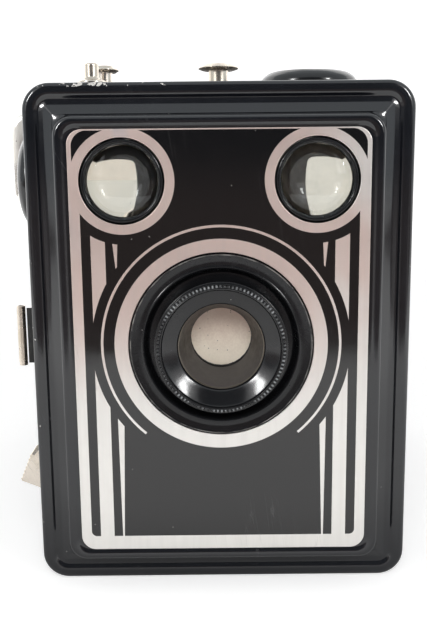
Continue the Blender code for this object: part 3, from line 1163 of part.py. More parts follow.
def build_hinge():
    """Two leaves whose knuckles share one pin at the camera's right rear edge."""
    leaf_inner = HALF_WIDTH + CLEARANCE
    body_outline = [
        (leaf_inner, HINGE_Y), (leaf_inner, HINGE_Y - HINGE_LEAF_LENGTH),
        (leaf_inner + HINGE_LEAF, HINGE_Y - HINGE_LEAF_LENGTH), (leaf_inner + HINGE_LEAF, HINGE_Y),
    ]
    back = DOOR_BACK_Y + CLEARANCE
    fold = 3.2 * MM
    door_outline = [
        (leaf_inner, HINGE_Y), (leaf_inner + HINGE_LEAF, HINGE_Y),
        (leaf_inner + HINGE_LEAF, back + HINGE_LEAF), (HALF_WIDTH - fold, back + HINGE_LEAF),
        (HALF_WIDTH - fold, back), (leaf_inner, back),
    ]
    bands = knuckle_bands()
    low = bands[0][0]
    high = bands[-1][1]
    gap = CLEARANCE
    body_leaf = add_object("hinge_leaf_body", extruded(body_outline, high - low, low), "steel", (0, 0, 0),
                           smooth=False)
    door_leaf = add_object("hinge_leaf_door", extruded(door_outline, high - low, low), "steel",
                           (HINGE_X, HINGE_Y, 0), smooth=False)
    door_leaf.data.transform(Matrix.Translation((-HINGE_X, -HINGE_Y, 0)))
    clear = HINGE_KNUCKLE_RADIUS + gap
    for index, (bottom, top) in enumerate(bands):
        owner, other = (body_leaf, door_leaf) if index % 2 == 0 else (door_leaf, body_leaf)
        barrel = cutter(f"knuckle_{index}",
                        extruded(circle(0, 0, HINGE_KNUCKLE_RADIUS, PIN_STEPS), top - bottom, bottom),
                        (HINGE_X, HINGE_Y, 0))
        relief = cutter(f"relief_{index}",
                        extruded(circle(0, 0, clear, PIN_STEPS), top - bottom + 2 * gap, bottom - gap),
                        (HINGE_X, HINGE_Y, 0))
        join(owner, [barrel])
        cut(other, [relief])
    bore = round_cutter("hinge_bore", HINGE_PIN_RADIUS + gap, HINGE_LENGTH, (HINGE_X, HINGE_Y, MIDDLE_Z), UP,
                        PIN_STEPS)
    cut(body_leaf, [bore])
    cut(door_leaf, [bore])
    pin_head = HINGE_PIN_RADIUS + 0.5 * MM
    end = high + gap
    pin = [
        (0.0, low), (HINGE_PIN_RADIUS, low), (HINGE_PIN_RADIUS, end), (pin_head, end),
        (pin_head, end + 0.6 * MM), (0.0, end + 0.6 * MM),
    ]
    add_object("hinge_pin", turned(pin, PIN_STEPS), "steel", (HINGE_X, HINGE_Y, 0), UP)


def clear_scene():
    """Remove whatever the scene holds."""
    for obj in list(bpy.data.objects):
        bpy.data.objects.remove(obj, do_unlink=True)


def main():
    clear_scene()
    build_body()
    build_front()
    build_lens_dish()
    build_lens_ring()
    build_shutter()
    build_aperture_slide()
    build_taking_lens()
    build_release()
    build_release_spring()
    build_finders()
    build_top_fittings()
    build_tripod_bushes()
    build_carrier()
    build_spool("takeup_spool", TAKEUP_Z)
    build_spool("supply_spool", SUPPLY_Z)
    build_winding_key()
    build_door()
    build_hinge()


main()
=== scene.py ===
"""Roll-film box camera: detailed pieces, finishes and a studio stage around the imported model.

Every length is in metres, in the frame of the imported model. The camera stands on Z = 0 and its lens looks
along -Y. Left and right are those of someone who looks at the front of the camera.
"""

import math

import bmesh
import bpy
import numpy as np
from mathutils import Euler, Matrix, Vector
from bpy.props import FloatProperty, FloatVectorProperty, IntProperty, PointerProperty


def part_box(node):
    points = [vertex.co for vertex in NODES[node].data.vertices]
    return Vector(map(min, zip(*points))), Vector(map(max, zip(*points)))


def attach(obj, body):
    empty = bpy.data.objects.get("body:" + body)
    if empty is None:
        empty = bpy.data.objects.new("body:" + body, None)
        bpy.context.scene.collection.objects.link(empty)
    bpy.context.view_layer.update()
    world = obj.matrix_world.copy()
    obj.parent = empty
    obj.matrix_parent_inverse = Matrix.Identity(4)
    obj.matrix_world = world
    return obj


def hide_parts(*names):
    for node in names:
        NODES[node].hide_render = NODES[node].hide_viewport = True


bl_info = {
    "name": "Roll-film box camera",
    "version": (1, 0, 0),
    "blender": (4, 5, 0),
    "location": "3D View > Sidebar > Box camera",
    "description": "Builds the detailed pieces, finishes and stage of a roll-film box camera",
    "category": "Object",
}

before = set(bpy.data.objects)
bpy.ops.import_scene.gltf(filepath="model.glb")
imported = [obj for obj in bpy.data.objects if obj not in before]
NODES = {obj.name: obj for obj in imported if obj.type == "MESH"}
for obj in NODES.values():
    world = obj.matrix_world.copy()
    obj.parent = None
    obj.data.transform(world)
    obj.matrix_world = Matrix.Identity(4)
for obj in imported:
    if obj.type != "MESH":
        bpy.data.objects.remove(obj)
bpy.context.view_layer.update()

MM = 0.001
TAU = 2.0 * math.pi


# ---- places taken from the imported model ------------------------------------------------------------
def box_of(node):
    """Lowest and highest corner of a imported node, as numpy arrays."""
    low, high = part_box(node)
    return np.array(low), np.array(high)


def centre_of(node):
    """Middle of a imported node's box."""
    low, high = box_of(node)
    return (low + high) / 2


FRAME_HIGH = box_of("front_frame")[1]
PLATE_LOW, PLATE_HIGH = box_of("face_plate")
COVER_LOW, COVER_HIGH = box_of("leatherette_wrap")
HALF_WIDTH = FRAME_HIGH[0]
HEIGHT = FRAME_HIGH[2]
PLATE_Y = PLATE_LOW[1]
LENS_Z = centre_of("lens_dish")[2]
LENS_DROP = 0.3 * MM            # the lens sits this much lower than the middle of its rings
LENS_AXIS_Z = LENS_Z - LENS_DROP
FINDER_X = centre_of("finder_sleeve_right")[0]
FINDER_Z = centre_of("finder_sleeve_right")[2]
MIRROR_Y = centre_of("finder_mirror_right")[1]


# ---- settings --------------------------------------------------------------------------------------
def number(name, description, default, **options):
    """A number property."""
    return FloatProperty(name=name, description=description, default=default, **options)


def length(name, description, millimetres):
    """A length property, given in millimetres."""
    return number(name, description, millimetres * MM, unit="LENGTH", precision=5)


def colour(name, description, default):
    """A colour property, in linear values."""
    return FloatVectorProperty(name=name, description=description, default=default, subtype="COLOR", min=0.0,
                               max=1.0)


class BoxCameraPattern(bpy.types.PropertyGroup):
    """The silver lines that are left bare in the face plate's black lacquer."""

    border: length("Side border", "From the middle of the plate to the side border's inner edge", 27.8)
    border_bottom: length("Bottom border", "From the lens axis down to the bottom border", 41.5)
    border_top: length("Top line", "From the lens axis up to the thin top line", 42.62)
    bar_inner: length("Bar, inner edge", "From the middle of the plate to a bar's inner edge", 23.0)
    bar_outer: length("Bar, outer edge", "From the middle of the plate to a bar's outer edge", 25.88)
    finder_ring: length("Finder ring", "Outer radius of the silver ring round a finder", 10.45)
    finder_gap: length("Finder gap", "Radius of the black field round a finder's ring", 12.45)
    lens_ring: length("Lens ring", "Outer radius of the silver ring round the lens", 21.72)
    arc_radius: length("Arc", "Middle radius of the thin arc round the lens ring", 24.24)
    arc_width: length("Arc width", "Width of the thin arc", 0.5)
    lens_gap: length("Lens gap", "Radius of the black field round the arc", 26.35)


class BoxCameraSizes(bpy.types.PropertyGroup):
    """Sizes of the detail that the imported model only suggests."""

    knurl_teeth: IntProperty(name="Knurl teeth", description="Beads round the lens ring", default=100, min=12)
    knurl_depth: length("Knurl depth", "Height of the lens ring's beads", 0.34)
    tab_sheet: length("Tab sheet", "Thickness of the pull tab's sheet", 0.32)
    mask_width: length("Finder mask, width", "Wide side of the oblong mask under a finder window", 11.2)
    mask_height: length("Finder mask, height", "Narrow side of that mask", 9.0)
    lens_curve: length("Finder lens curve", "Radius of both faces of a front finder lens", 20.0)
    thread_pitch: length("Thread pitch", "Pitch of the tripod bushes' thread", 1.27)


class BoxCameraColours(bpy.types.PropertyGroup):
    """Base colours of the finishes."""

    enamel: colour("Enamel", "Stoved black of the frame and the door", (0.0045, 0.0050, 0.0068))
    lacquer: colour("Lacquer", "Black printed on the face plate", (0.0030, 0.0025, 0.0026))
    silver_low: colour("Silver, lower", "Bare metal at the plate's foot", (0.82, 0.80, 0.765))
    # the upper silver is the rosy colour of a painted warm reflection
    silver_painted_reflection: colour("Silver, upper", "Bare metal at the plate's head", (0.69, 0.55, 0.50))
    plastic: colour("Moulded black", "Lens ring, dish and finder rims", (0.0060, 0.0062, 0.0070))
    nickel: colour("Nickel", "Studs, lever and tab", (0.66, 0.60, 0.53))
    chrome: colour("Chrome", "Key and contact pin", (0.86, 0.84, 0.79))
    blade: colour("Blade", "Shutter blade seen through the lens ring", (1.0, 0.89, 0.74))
    leather: colour("Leatherette", "Grained covering", (0.010, 0.010, 0.011))


class BoxCameraStage(bpy.types.PropertyGroup):
    """The photograph's camera and the light."""

    lens: number("Lens", "Focal length in millimetres for a 36 mm sensor", 47.59, min=1.0)
    distance: length("Distance", "From the face plate back to the camera", 168.7)
    eye_height: length("Eye height", "Height of the camera above the floor", 89.28)
    pitch: number("Pitch", "Downward tilt", math.radians(10.25), subtype="ANGLE")
    roll: number("Roll", "Turn about the view axis", -0.0098, subtype="ANGLE")
    shift: number("Shift", "Sideways lens shift", -0.0105)
    rise: number("Rise", "Upward lens shift", 0.0008)
    box_power: number("Side box", "Watts of each side box", 0.62, min=0.0)
    core_power: number("Core", "Watts of each side box's core", 2.0, min=0.0)
    front_power: number("Front box", "Watts of the front box", 1.6, min=0.0)
    fill: number("Fill", "Strength of the surrounding light", 0.48, min=0.0)


# ---- meshes ----------------------------------------------------------------------------------------
WELD = 0.0008 * MM              # points closer than this are one point
SPLINTER = 0.0005 * MM          # edges shorter than this are removed
TINY = 1e-12                    # keeps a division from meeting zero
SAME_PLACE = 1e-9               # steps shorter than this are left out of a path


def grid_faces(rows, columns, wrap_rows=False, wrap_columns=False):
    """Corner numbers of the quads that join a rows x columns grid of points."""
    row = np.arange(rows if wrap_rows else rows - 1)
    column = np.arange(columns if wrap_columns else columns - 1)
    row, column = np.meshgrid(row, column, indexing="ij")
    next_row = (row + 1) % rows
    next_column = (column + 1) % columns
    corners = [row * columns + column, next_row * columns + column,
               next_row * columns + next_column, row * columns + next_column]
    return np.stack(corners, axis=-1).reshape(-1, 4)


def joined(parts):
    """Several (points, quads) pairs as one pair."""
    points = []
    quads = []
    count = 0
    for part_points, part_quads in parts:
        part_points = np.asarray(part_points).reshape(-1, 3)
        points.append(part_points)
        quads.append(np.asarray(part_quads) + count)
        count += len(part_points)
    return np.concatenate(points), np.concatenate(quads)


def surface(grid, wrap_rows=False, wrap_columns=False):
    """A grid of points, shaped (rows, columns, 3), as a (points, quads) pair."""
    rows, columns = grid.shape[:2]
    return grid.reshape(-1, 3), grid_faces(rows, columns, wrap_rows, wrap_columns)


def mesh_from(name, points, quads, sharp_angle):
    """Put arrays into a mesh, weld its seams and poles, and turn its faces outwards."""
    mesh = bpy.data.meshes.new(name)
    mesh.vertices.add(len(points))
    mesh.vertices.foreach_set("co", np.asarray(points, np.float32).ravel())
    mesh.loops.add(quads.size)
    mesh.loops.foreach_set("vertex_index", quads.astype(np.int32).ravel())
    mesh.polygons.add(len(quads))
    mesh.polygons.foreach_set("loop_start", np.arange(0, quads.size, 4, dtype=np.int32))
    mesh.update(calc_edges=True)
    builder = bmesh.new()
    builder.from_mesh(mesh)
    bmesh.ops.remove_doubles(builder, verts=builder.verts, dist=WELD)
    bmesh.ops.dissolve_degenerate(builder, edges=builder.edges, dist=SPLINTER)
    bmesh.ops.recalc_face_normals(builder, faces=builder.faces)
    builder.to_mesh(mesh)
    builder.free()
    mesh.shade_smooth()
    mesh.set_sharp_from_angle(angle=math.radians(sharp_angle))
    return mesh


def add_object(name, parts, material, sharp_angle):
    """A mesh object with one material, linked to the scene."""
    points, quads = joined(parts)
    obj = bpy.data.objects.new(name, mesh_from(name, points, quads, sharp_angle))
    bpy.context.scene.collection.objects.link(obj)
    obj.data.materials.append(material)
    return obj


def add_piece(name, parts, finish, node, body="camera", extra=False, sharp_angle=38.0):
    """One finished piece that rides on a body. It stands for the node, or is extra detail on it."""
    obj = add_object(name, parts, FINISHES[finish], sharp_angle)
    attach(obj, body)
    if not extra:
        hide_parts(node)
    return obj


def add_turning(name, profile, place, axis, finish, node, steps=160, closed=True, **options):
    """One finished piece that is turned about an axis."""
    return add_piece(name, [lathe(profile, place, axis, steps, closed)], finish, node, **options)


def solidify(obj, thickness):
    """Give an open sheet its wall, on the side away from the viewer."""
    modifier = obj.modifiers.new("Wall", "SOLIDIFY")
    modifier.thickness = thickness
    modifier.offset = 1.0 if obj.data.polygons[0].normal.y > 0 else -1.0


def bevel(obj, width, segments=2, angle=40.0):
    """Round every edge sharper than the angle."""
    modifier = obj.modifiers.new("Edge", "BEVEL")
    modifier.width = width
    modifier.segments = segments
    modifier.limit_method = "ANGLE"
    modifier.angle_limit = math.radians(angle)
    modifier.harden_normals = True


def rounded_path(corners, steps=6, closed=False):
    """A path with rounded corners. Each corner is (values ..., radius).

    The rounding is a quadratic curve from one side to the other: (1-t)^2 start + 2t(1-t) corner + t^2 end,
    where start and end lie one radius from the corner, or half a side where the side is short.
    """
    corners = np.asarray(corners, float)
    values = corners[:, :-1]
    radii = corners[:, -1]
    before = np.roll(values, 1, axis=0)
    after = np.roll(values, -1, axis=0)
    back = before - values
    ahead = after - values
    back_length = np.linalg.norm(back[:, :2], axis=1)
    ahead_length = np.linalg.norm(ahead[:, :2], axis=1)
    reach = np.minimum(radii, 0.499 * np.minimum(back_length, ahead_length))
    start = values + back * (reach / np.maximum(back_length, TINY))[:, None]
    end = values + ahead * (reach / np.maximum(ahead_length, TINY))[:, None]
    t = np.linspace(0.0, 1.0, steps + 1)[None, :, None]
    curve = (1 - t) ** 2 * start[:, None] + 2 * t * (1 - t) * values[:, None] + t ** 2 * end[:, None]
    if not closed:
        curve[0] = values[0]
        curve[-1] = values[-1]
    path = curve.reshape(-1, values.shape[1])
    step = np.linalg.norm(np.diff(path, axis=0), axis=1)
    return path[np.concatenate([[True], step > SAME_PLACE])]


def profile_of(*corners, steps=6):
    """A rounded profile in metres from corners in millimetres."""
    return rounded_path(corners, steps) * MM


AXES = {
    "forward": np.array([[1.0, 0.0, 0.0], [0.0, 0.0, 1.0], [0.0, -1.0, 0.0]]),
    "backward": np.array([[1.0, 0.0, 0.0], [0.0, 0.0, -1.0], [0.0, 1.0, 0.0]]),
    "up": np.eye(3),
    "left": np.array([[0.0, 0.0, 1.0], [0.0, 1.0, 0.0], [-1.0, 0.0, 0.0]]),
    "right": np.array([[0.0, 0.0, -1.0], [0.0, 1.0, 0.0], [1.0, 0.0, 0.0]]),
}


def placed(points, place, axis):
    """Turn a piece's own X, Y and Z to an axis of the camera, and move it to its place."""
    return np.asarray(points) @ AXES[axis] + np.asarray(place)


def lathe(profile, place, axis, steps=160, closed=True):
    """A turned surface: radius and height along the profile, swept round the axis.

    Point = (r cos a, r sin a, h) for each (r, h) of the profile and each angle a of a full turn.
    """
    profile = np.asarray(profile, float)
    angle = np.linspace(0.0, TAU, steps, endpoint=False)
    radius = profile[:, 0, None]
    grid = np.stack([radius * np.cos(angle), radius * np.sin(angle),
                     np.broadcast_to(profile[:, 1, None], (len(profile), steps))], axis=-1)
    return surface(placed(grid, place, axis), wrap_rows=closed, wrap_columns=True)


def rounded_box_points(half_width, half_height, radius, steps=12):
    """Outlines of rounded rectangles, anticlockwise, one row for each set of sizes.

    Each corner is a quarter circle about a centre one radius inside both sides.
    """
    half_width, half_height, radius = np.broadcast_arrays(
        np.atleast_1d(half_width), np.atleast_1d(half_height), np.atleast_1d(radius))
    quarter = np.repeat(np.arange(4), steps + 1)
    angle = (quarter + np.tile(np.linspace(0.0, 1.0, steps + 1), 4)) * math.pi / 2
    side_x = np.where((quarter == 0) | (quarter == 3), 1.0, -1.0)
    side_y = np.where(quarter < 2, 1.0, -1.0)
    x = side_x * (half_width - radius)[:, None] + radius[:, None] * np.cos(angle)
    y = side_y * (half_height - radius)[:, None] + radius[:, None] * np.sin(angle)
    return np.stack([x, y], axis=-1)


def swept_outline(insets, depths, radii, half_width, half_height, steps=12):
    """Rounded rectangles of growing inset, one above the other, as a grid of points (x, y, depth)."""
    outline = rounded_box_points(half_width - insets, half_height - insets, radii, steps)
    height = np.broadcast_to(np.asarray(depths)[:, None, None], outline.shape[:2] + (1,))
    return np.concatenate([outline, height], axis=-1)

def stacked(rings):
    """Outlines at their heights, (outline, height) each, as a grid of points."""
    return np.stack([np.column_stack([outline, np.full(len(outline), height)]) for outline, height in rings])


def extruded(outline, low, high):
    """A plate from a star-shaped outline: its rim, and caps that meet in its middle."""
    middle = np.broadcast_to(outline.mean(axis=0), outline.shape)
    return surface(stacked([(middle, low), (outline, low), (outline, high), (middle, high)]),
                   wrap_columns=True)


def side_points(start, end, spacing):
    """Evenly spaced points from start to just before end."""
    start, end = np.asarray(start, float), np.asarray(end, float)
    count = max(1, int(round(np.linalg.norm(end - start) / spacing)))
    share = np.arange(count)[:, None] / count
    return start + (end - start) * share


def cell_outline(low, high, spacing, rounded=()):
    """A rectangle's edge points, anticlockwise. `rounded` gives a radius to some of its corners."""
    names = ("low_right", "high_right", "high_left", "low_left")
    corners = [(high[0], low[1]), (high[0], high[1]), (low[0], high[1]), (low[0], low[1])]
    radii = [dict(rounded).get(name, 0.0) for name in names]
    points = []
    for index in range(4):
        here = np.array(corners[index])
        before = np.array(corners[index - 1])
        after = np.array(corners[(index + 1) % 4])
        away = (after - here) / np.linalg.norm(after - here)
        towards = (here - before) / np.linalg.norm(here - before)
        radius = radii[index]
        if radius:
            turn = np.linspace(0.0, math.pi / 2, 12)[:-1, None]
            centre = here - towards * radius + away * radius
            points.append(centre - away * radius * np.cos(turn) + towards * radius * np.sin(turn))
        next_radius = radii[(index + 1) % 4]
        points.append(side_points(here + away * radius, after - away * next_radius, spacing))
    return np.concatenate(points)


def holed_cell(outline, centre, radius, levels=4):
    """The part of a flat sheet between a round hole and the cell's outline.

    Point = (1-s) hole + s outline, where the hole's point lies on the ray from the centre to the outline's.
    """
    centre = np.asarray(centre, float)
    ray = outline - centre
    rim = centre + ray * (radius / np.linalg.norm(ray, axis=1))[:, None]
    share = np.linspace(0.0, 1.0, levels + 1)[:, None, None] ** 1.5
    return (1 - share) * rim + share * outline


def front_sheet(inset_side, inset_top, corner, lens_hole, finder_hole, y, spacing=0.8 * MM):
    """A flat sheet behind the finders and the lens: three cells with a hole, and a closed one below."""
    side = HALF_WIDTH - inset_side
    spacing = side / round(side / spacing)
    top = HEIGHT - inset_top
    bottom = inset_top
    under_finders = (FINDER_Z - finder_hole + LENS_Z + lens_hole) / 2
    below_hole = 2.5 * MM
    under_lens = LENS_Z - lens_hole - below_hole
    cells = [
        (cell_outline((-side, under_finders), (0.0, top), spacing, {"high_left": corner}),
         (-FINDER_X, FINDER_Z), finder_hole),
        (cell_outline((0.0, under_finders), (side, top), spacing, {"high_right": corner}),
         (FINDER_X, FINDER_Z), finder_hole),
        (cell_outline((-side, under_lens), (side, under_finders), spacing), (0.0, LENS_AXIS_Z), lens_hole),
        (cell_outline((-side, bottom), (side, under_lens), spacing,
                      {"low_left": corner, "low_right": corner}), (0.0, (bottom + under_lens) / 2), 0.0),
    ]
    parts = []
    for outline, centre, radius in cells:
        flat = holed_cell(outline, centre, radius)
        depth = np.full(flat.shape[:2], y)
        grid = np.stack([flat[..., 0], depth, flat[..., 1]], axis=-1)
        parts.append(surface(grid, wrap_columns=True))
    return parts


# ---- shader formulas -------------------------------------------------------------------------------
def feed(tree, socket, value):
    """Link a term or a socket into a socket, or set it to a plain value."""
    if isinstance(value, Term):
        tree.links.new(value.socket, socket)
    elif isinstance(value, bpy.types.NodeSocket):
        tree.links.new(value, socket)
    elif hasattr(socket.default_value, "__len__") and not hasattr(value, "__len__"):
        socket.default_value = [value] * len(socket.default_value)
    elif hasattr(socket.default_value, "__len__") and len(value) < len(socket.default_value):
        socket.default_value = (*value, 1.0)
    else:
        socket.default_value = value


def calculated(tree, operation, *values):
    """The result of a Math node."""
    node = tree.nodes.new("ShaderNodeMath")
    node.operation = operation
    for index, value in enumerate(values):
        feed(tree, node.inputs[index], value)
    return Term(tree, node.outputs[0])


class Term:
    """A value in a shader, so that a formula reads as arithmetic."""

    def __init__(self, tree, socket):
        self.tree = tree
        self.socket = socket

    def math(self, operation, *others):
        return calculated(self.tree, operation, self, *others)

    def __add__(self, other):
        return self.math("ADD", other)

    __radd__ = __add__

    def __sub__(self, other):
        return self.math("SUBTRACT", other)

    def __rsub__(self, other):
        return calculated(self.tree, "SUBTRACT", other, self)

    def __mul__(self, other):
        return self.math("MULTIPLY", other)

    def __neg__(self):
        return self.math("MULTIPLY", -1.0)

    def __abs__(self):
        return self.math("ABSOLUTE")

    def least(self, other):
        return self.math("MINIMUM", other)

    def most(self, other):
        return self.math("MAXIMUM", other)

    def between(self, low, high, shape="LINEAR"):
        """0 at low, 1 at high, straight between them."""
        node = add_node(self.tree, "ShaderNodeMapRange", {"Value": self, "From Min": low, "From Max": high},
                        interpolation_type=shape)
        return Term(self.tree, node.outputs["Result"])

    def ramp(self, low, high):
        """0 at low, 1 at high, with a smooth step between them."""
        return self.between(low, high, "SMOOTHSTEP")


def add_node(tree, kind, inputs=None, **settings):
    """A node with its settings and inputs."""
    node = tree.nodes.new(kind)
    for name, value in settings.items():
        setattr(node, name, value)
    for name, value in (inputs or {}).items():
        feed(tree, node.inputs[name], value)
    return node


def length_of(*parts):
    """Square root of the sum of squares."""
    total = parts[0] * parts[0]
    for part in parts[1:]:
        total = total + part * part
    return total.math("SQRT")

def blend_colour(tree, share, first, second):
    """Mix two colours by a share."""
    node = add_node(tree, "ShaderNodeMix", {"Factor": share, 6: first, 7: second}, data_type="RGBA")
    return Term(tree, node.outputs[2])


def times(tone, factor):
    """A colour made lighter or darker."""
    return tuple(part * factor for part in tone)


class Formula:
    """A shader tree under construction, with the place where its textures are read."""

    def __init__(self, tree, place):
        self.tree = tree
        self.place = place

    def noise(self, scale, detail=2.0, stretch=None, place=None):
        """Plain noise from 0 to 1, pulled out along an axis where its stretch is small."""
        place = self.place if place is None else place
        if stretch:
            place = add_node(self.tree, "ShaderNodeMapping", {"Vector": place, "Scale": stretch}).outputs[0]
        node = add_node(self.tree, "ShaderNodeTexNoise", {"Vector": place, "Scale": scale, "Detail": detail})
        return Term(self.tree, node.outputs["Fac"])


# ---- shared effects --------------------------------------------------------------------------------
GROUPS = {}


class Group(Formula):
    """A shared effect under construction: a node group that takes a vector and numbers, and gives masks."""

    def __init__(self, name, outputs=("Mask",), **inputs):
        tree = bpy.data.node_groups.new(name, "ShaderNodeTree")
        new_socket = tree.interface.new_socket
        new_socket("Vector", in_out="INPUT", socket_type="NodeSocketVector")
        for key, default in inputs.items():
            socket = new_socket(key.capitalize(), in_out="INPUT", socket_type="NodeSocketFloat")
            socket.default_value = default
        for output in outputs:
            new_socket(output, in_out="OUTPUT", socket_type="NodeSocketFloat")
        self.source = tree.nodes.new("NodeGroupInput")
        self.target = tree.nodes.new("NodeGroupOutput")
        super().__init__(tree, self.source.outputs["Vector"])

    def value(self, name):
        """One of the group's inputs."""
        return Term(self.tree, self.source.outputs[name])

    def cells(self, place, feature="F1"):
        """Voronoi cells at the group's scale."""
        return add_node(self.tree, "ShaderNodeTexVoronoi", {"Vector": place, "Scale": self.value("Scale")},
                        feature=feature)

    def give(self, **outputs):
        """Feed the group's outputs, and give its tree."""
        for name, term in outputs.items():
            feed(self.tree, self.target.inputs[name], term)
        return self.tree


def make_dust_group():
    """Dust: a few small grains, one in each cell of a fine lattice that the amount lets through."""
    group = Group("Dust", scale=900.0, amount=0.05, size=0.16)
    cells = group.cells(group.place)
    chance = add_node(group.tree, "ShaderNodeSeparateColor", {"Color": cells.outputs["Color"]})
    drawn, share = (Term(group.tree, chance.outputs[name]) for name in ("Red", "Green"))
    kept = (group.value("Amount") - drawn).ramp(0.0, 0.004)
    grain = group.value("Size") * share - Term(group.tree, cells.outputs["Distance"])
    return group.give(Mask=kept * grain.ramp(0.0, 0.05))


def make_hairline_group():
    """Hairlines: noise pulled out along one axis, cut so that only its thin crests stay."""
    group = Group("Hairlines", scale=300.0, turn=0.4, amount=0.3)
    turned = add_node(group.tree, "ShaderNodeVectorRotate",
                      {"Vector": group.place, "Angle": group.value("Turn"), "Axis": (0.2, 1.0, 0.1)},
                      rotation_type="AXIS_ANGLE")
    noise = group.noise(group.value("Scale"), 2.0, (1.0, 1.0, 0.03), turned.outputs[0])
    where = (group.noise(60.0) + group.value("Amount")).ramp(0.62, 0.85)
    return group.give(Mask=(0.012 - abs(noise - 0.5)).ramp(0.0, 0.012) * where)


def make_haze_group():
    """Haze: broad soft blotches with a finer mottle in them, from 0 to 1."""
    group = Group("Haze", scale=60.0, fine=0.4)
    scale, share = group.value("Scale"), group.value("Fine")
    mixed = group.noise(scale, 3.0) * (1.0 - share) + group.noise(scale * 9.0, 4.0) * share
    return group.give(Mask=mixed.ramp(0.36, 0.64))


def make_leather_group():
    """Leather grain: rounded cells between creases, with a finer pebble on each."""
    group = Group("Leather grain", ("Height", "Crease"), scale=900.0)
    scale = group.value("Scale")
    bend = add_node(group.tree, "ShaderNodeTexNoise", {"Vector": group.place, "Scale": scale, "Detail": 1.0})
    pushed = add_node(group.tree, "ShaderNodeVectorMath", {0: bend.outputs["Color"], 1: (0.00035,) * 3},
                      operation="MULTIPLY")
    moved = add_node(group.tree, "ShaderNodeVectorMath", {0: group.place, 1: pushed.outputs[0]},
                     operation="ADD")
    edge = Term(group.tree, group.cells(moved.outputs[0], "DISTANCE_TO_EDGE").outputs["Distance"])
    height = edge.ramp(0.0, 0.35) + group.noise(scale * 3.1) * 0.35
    return group.give(Height=height, Crease=1.0 - edge.ramp(0.0, 0.16))


# ---- finishes --------------------------------------------------------------------------------------
class Finish(Formula):
    """A material under construction: its shader, and the object's own coordinates as its place."""

    def __init__(self, name, **constants):
        self.material = bpy.data.materials.new(name)
        self.material.use_nodes = True
        tree = self.material.node_tree
        self.shader = tree.nodes["Principled BSDF"]
        super().__init__(tree, tree.nodes.new("ShaderNodeTexCoord").outputs["Object"])
        self.set(**constants)

    def set(self, **values):
        """Set or link inputs of the shader. Underscores stand for spaces."""
        for key, value in values.items():
            feed(self.tree, self.shader.inputs[key.replace("_", " ")], value)

    def axes(self):
        """The object's X, Y and Z in millimetres."""
        parts = add_node(self.tree, "ShaderNodeSeparateXYZ", {0: self.place})
        return [Term(self.tree, parts.outputs[index]) * 1000.0 for index in range(3)]

    def effect(self, name, output="Mask", **values):
        """The named output of a shared effect on this material."""
        inputs = {key.capitalize(): value for key, value in values.items()}
        node = add_node(self.tree, "ShaderNodeGroup", node_tree=GROUPS[name])
        for key, value in {"Vector": self.place, **inputs}.items():
            feed(self.tree, node.inputs[key], value)
        return Term(self.tree, node.outputs[output])

    def haze(self, scale, fine=0.4):
        """Soft blotches."""
        return self.effect("haze", scale=scale, fine=fine)

    def dust(self, scale, amount, size):
        """Small grains."""
        return self.effect("dust", scale=scale, amount=amount, size=size)

    def lines(self, scale, turn, amount):
        """Thin scratches."""
        return self.effect("hairlines", scale=scale, turn=turn, amount=amount)

    def layers(self, base, *coats):
        """Lay coats over a base colour. Each coat is (share, colour)."""
        for share, tone in coats:
            base = blend_colour(self.tree, share, base, tone)
        return base

    def done(self, tone, roughness, relief=None, depth=0.0, strength=1.0, **values):
        """Set colour, roughness and a bump of the given depth in millimetres, and give the material."""
        self.set(Base_Color=tone, Roughness=roughness, **values)
        if relief is not None:
            bump = add_node(self.tree, "ShaderNodeBump",
                            {"Height": relief, "Distance": depth * MM, "Strength": strength})
            self.set(Normal=bump.outputs[0])
        return self.material


FINISHES = {}


def enamel_finish(settings):
    """Stoved black enamel: a faint orange peel, dust, hairlines and chips along the outer rim."""
    rim_front, rim_back = -54.1, 53.2
    half_width, height = HALF_WIDTH / MM, HEIGHT / MM
    finish = Finish("Stoved enamel", IOR=1.6)
    x, y, z = finish.axes()
    haze = finish.haze(45.0)
    dust = finish.dust(900.0, 0.045, 0.13)
    lines = finish.lines(420.0, 0.5, 0.1)
    side = (abs(x) - (half_width - 1.0)).most(abs(z - height / 2) - (height / 2 - 1.0))
    knocked = z.ramp(height - 5.0, height - 1.0) * (-x).ramp(-6.0, 38.0)
    edge = 1.0 - abs(y - rim_front).least(abs(y - rim_back)).ramp(0.15, 0.9)
    chip = finish.noise(640.0, 4.0) + edge * (knocked * 0.15 - 0.06)
    chip = chip.ramp(0.655, 0.67) * side.ramp(0.0, 0.2) * edge.ramp(0.02, 0.2)
    tone = finish.layers(settings.enamel, (haze * 0.5, times(settings.enamel, 1.7)),
                         (dust, (0.42, 0.42, 0.40)), (lines * 0.25, (0.09, 0.09, 0.09)),
                         (chip, (0.62, 0.60, 0.57)))
    peel = finish.noise(700.0, 3.0) + finish.noise(140.0) * 2.0
    return finish.done(tone, 0.09 + haze * 0.05 + dust * 0.4 + lines * 0.2 + chip * 0.3,
                       peel - chip * 2.0, 0.006, 0.3)


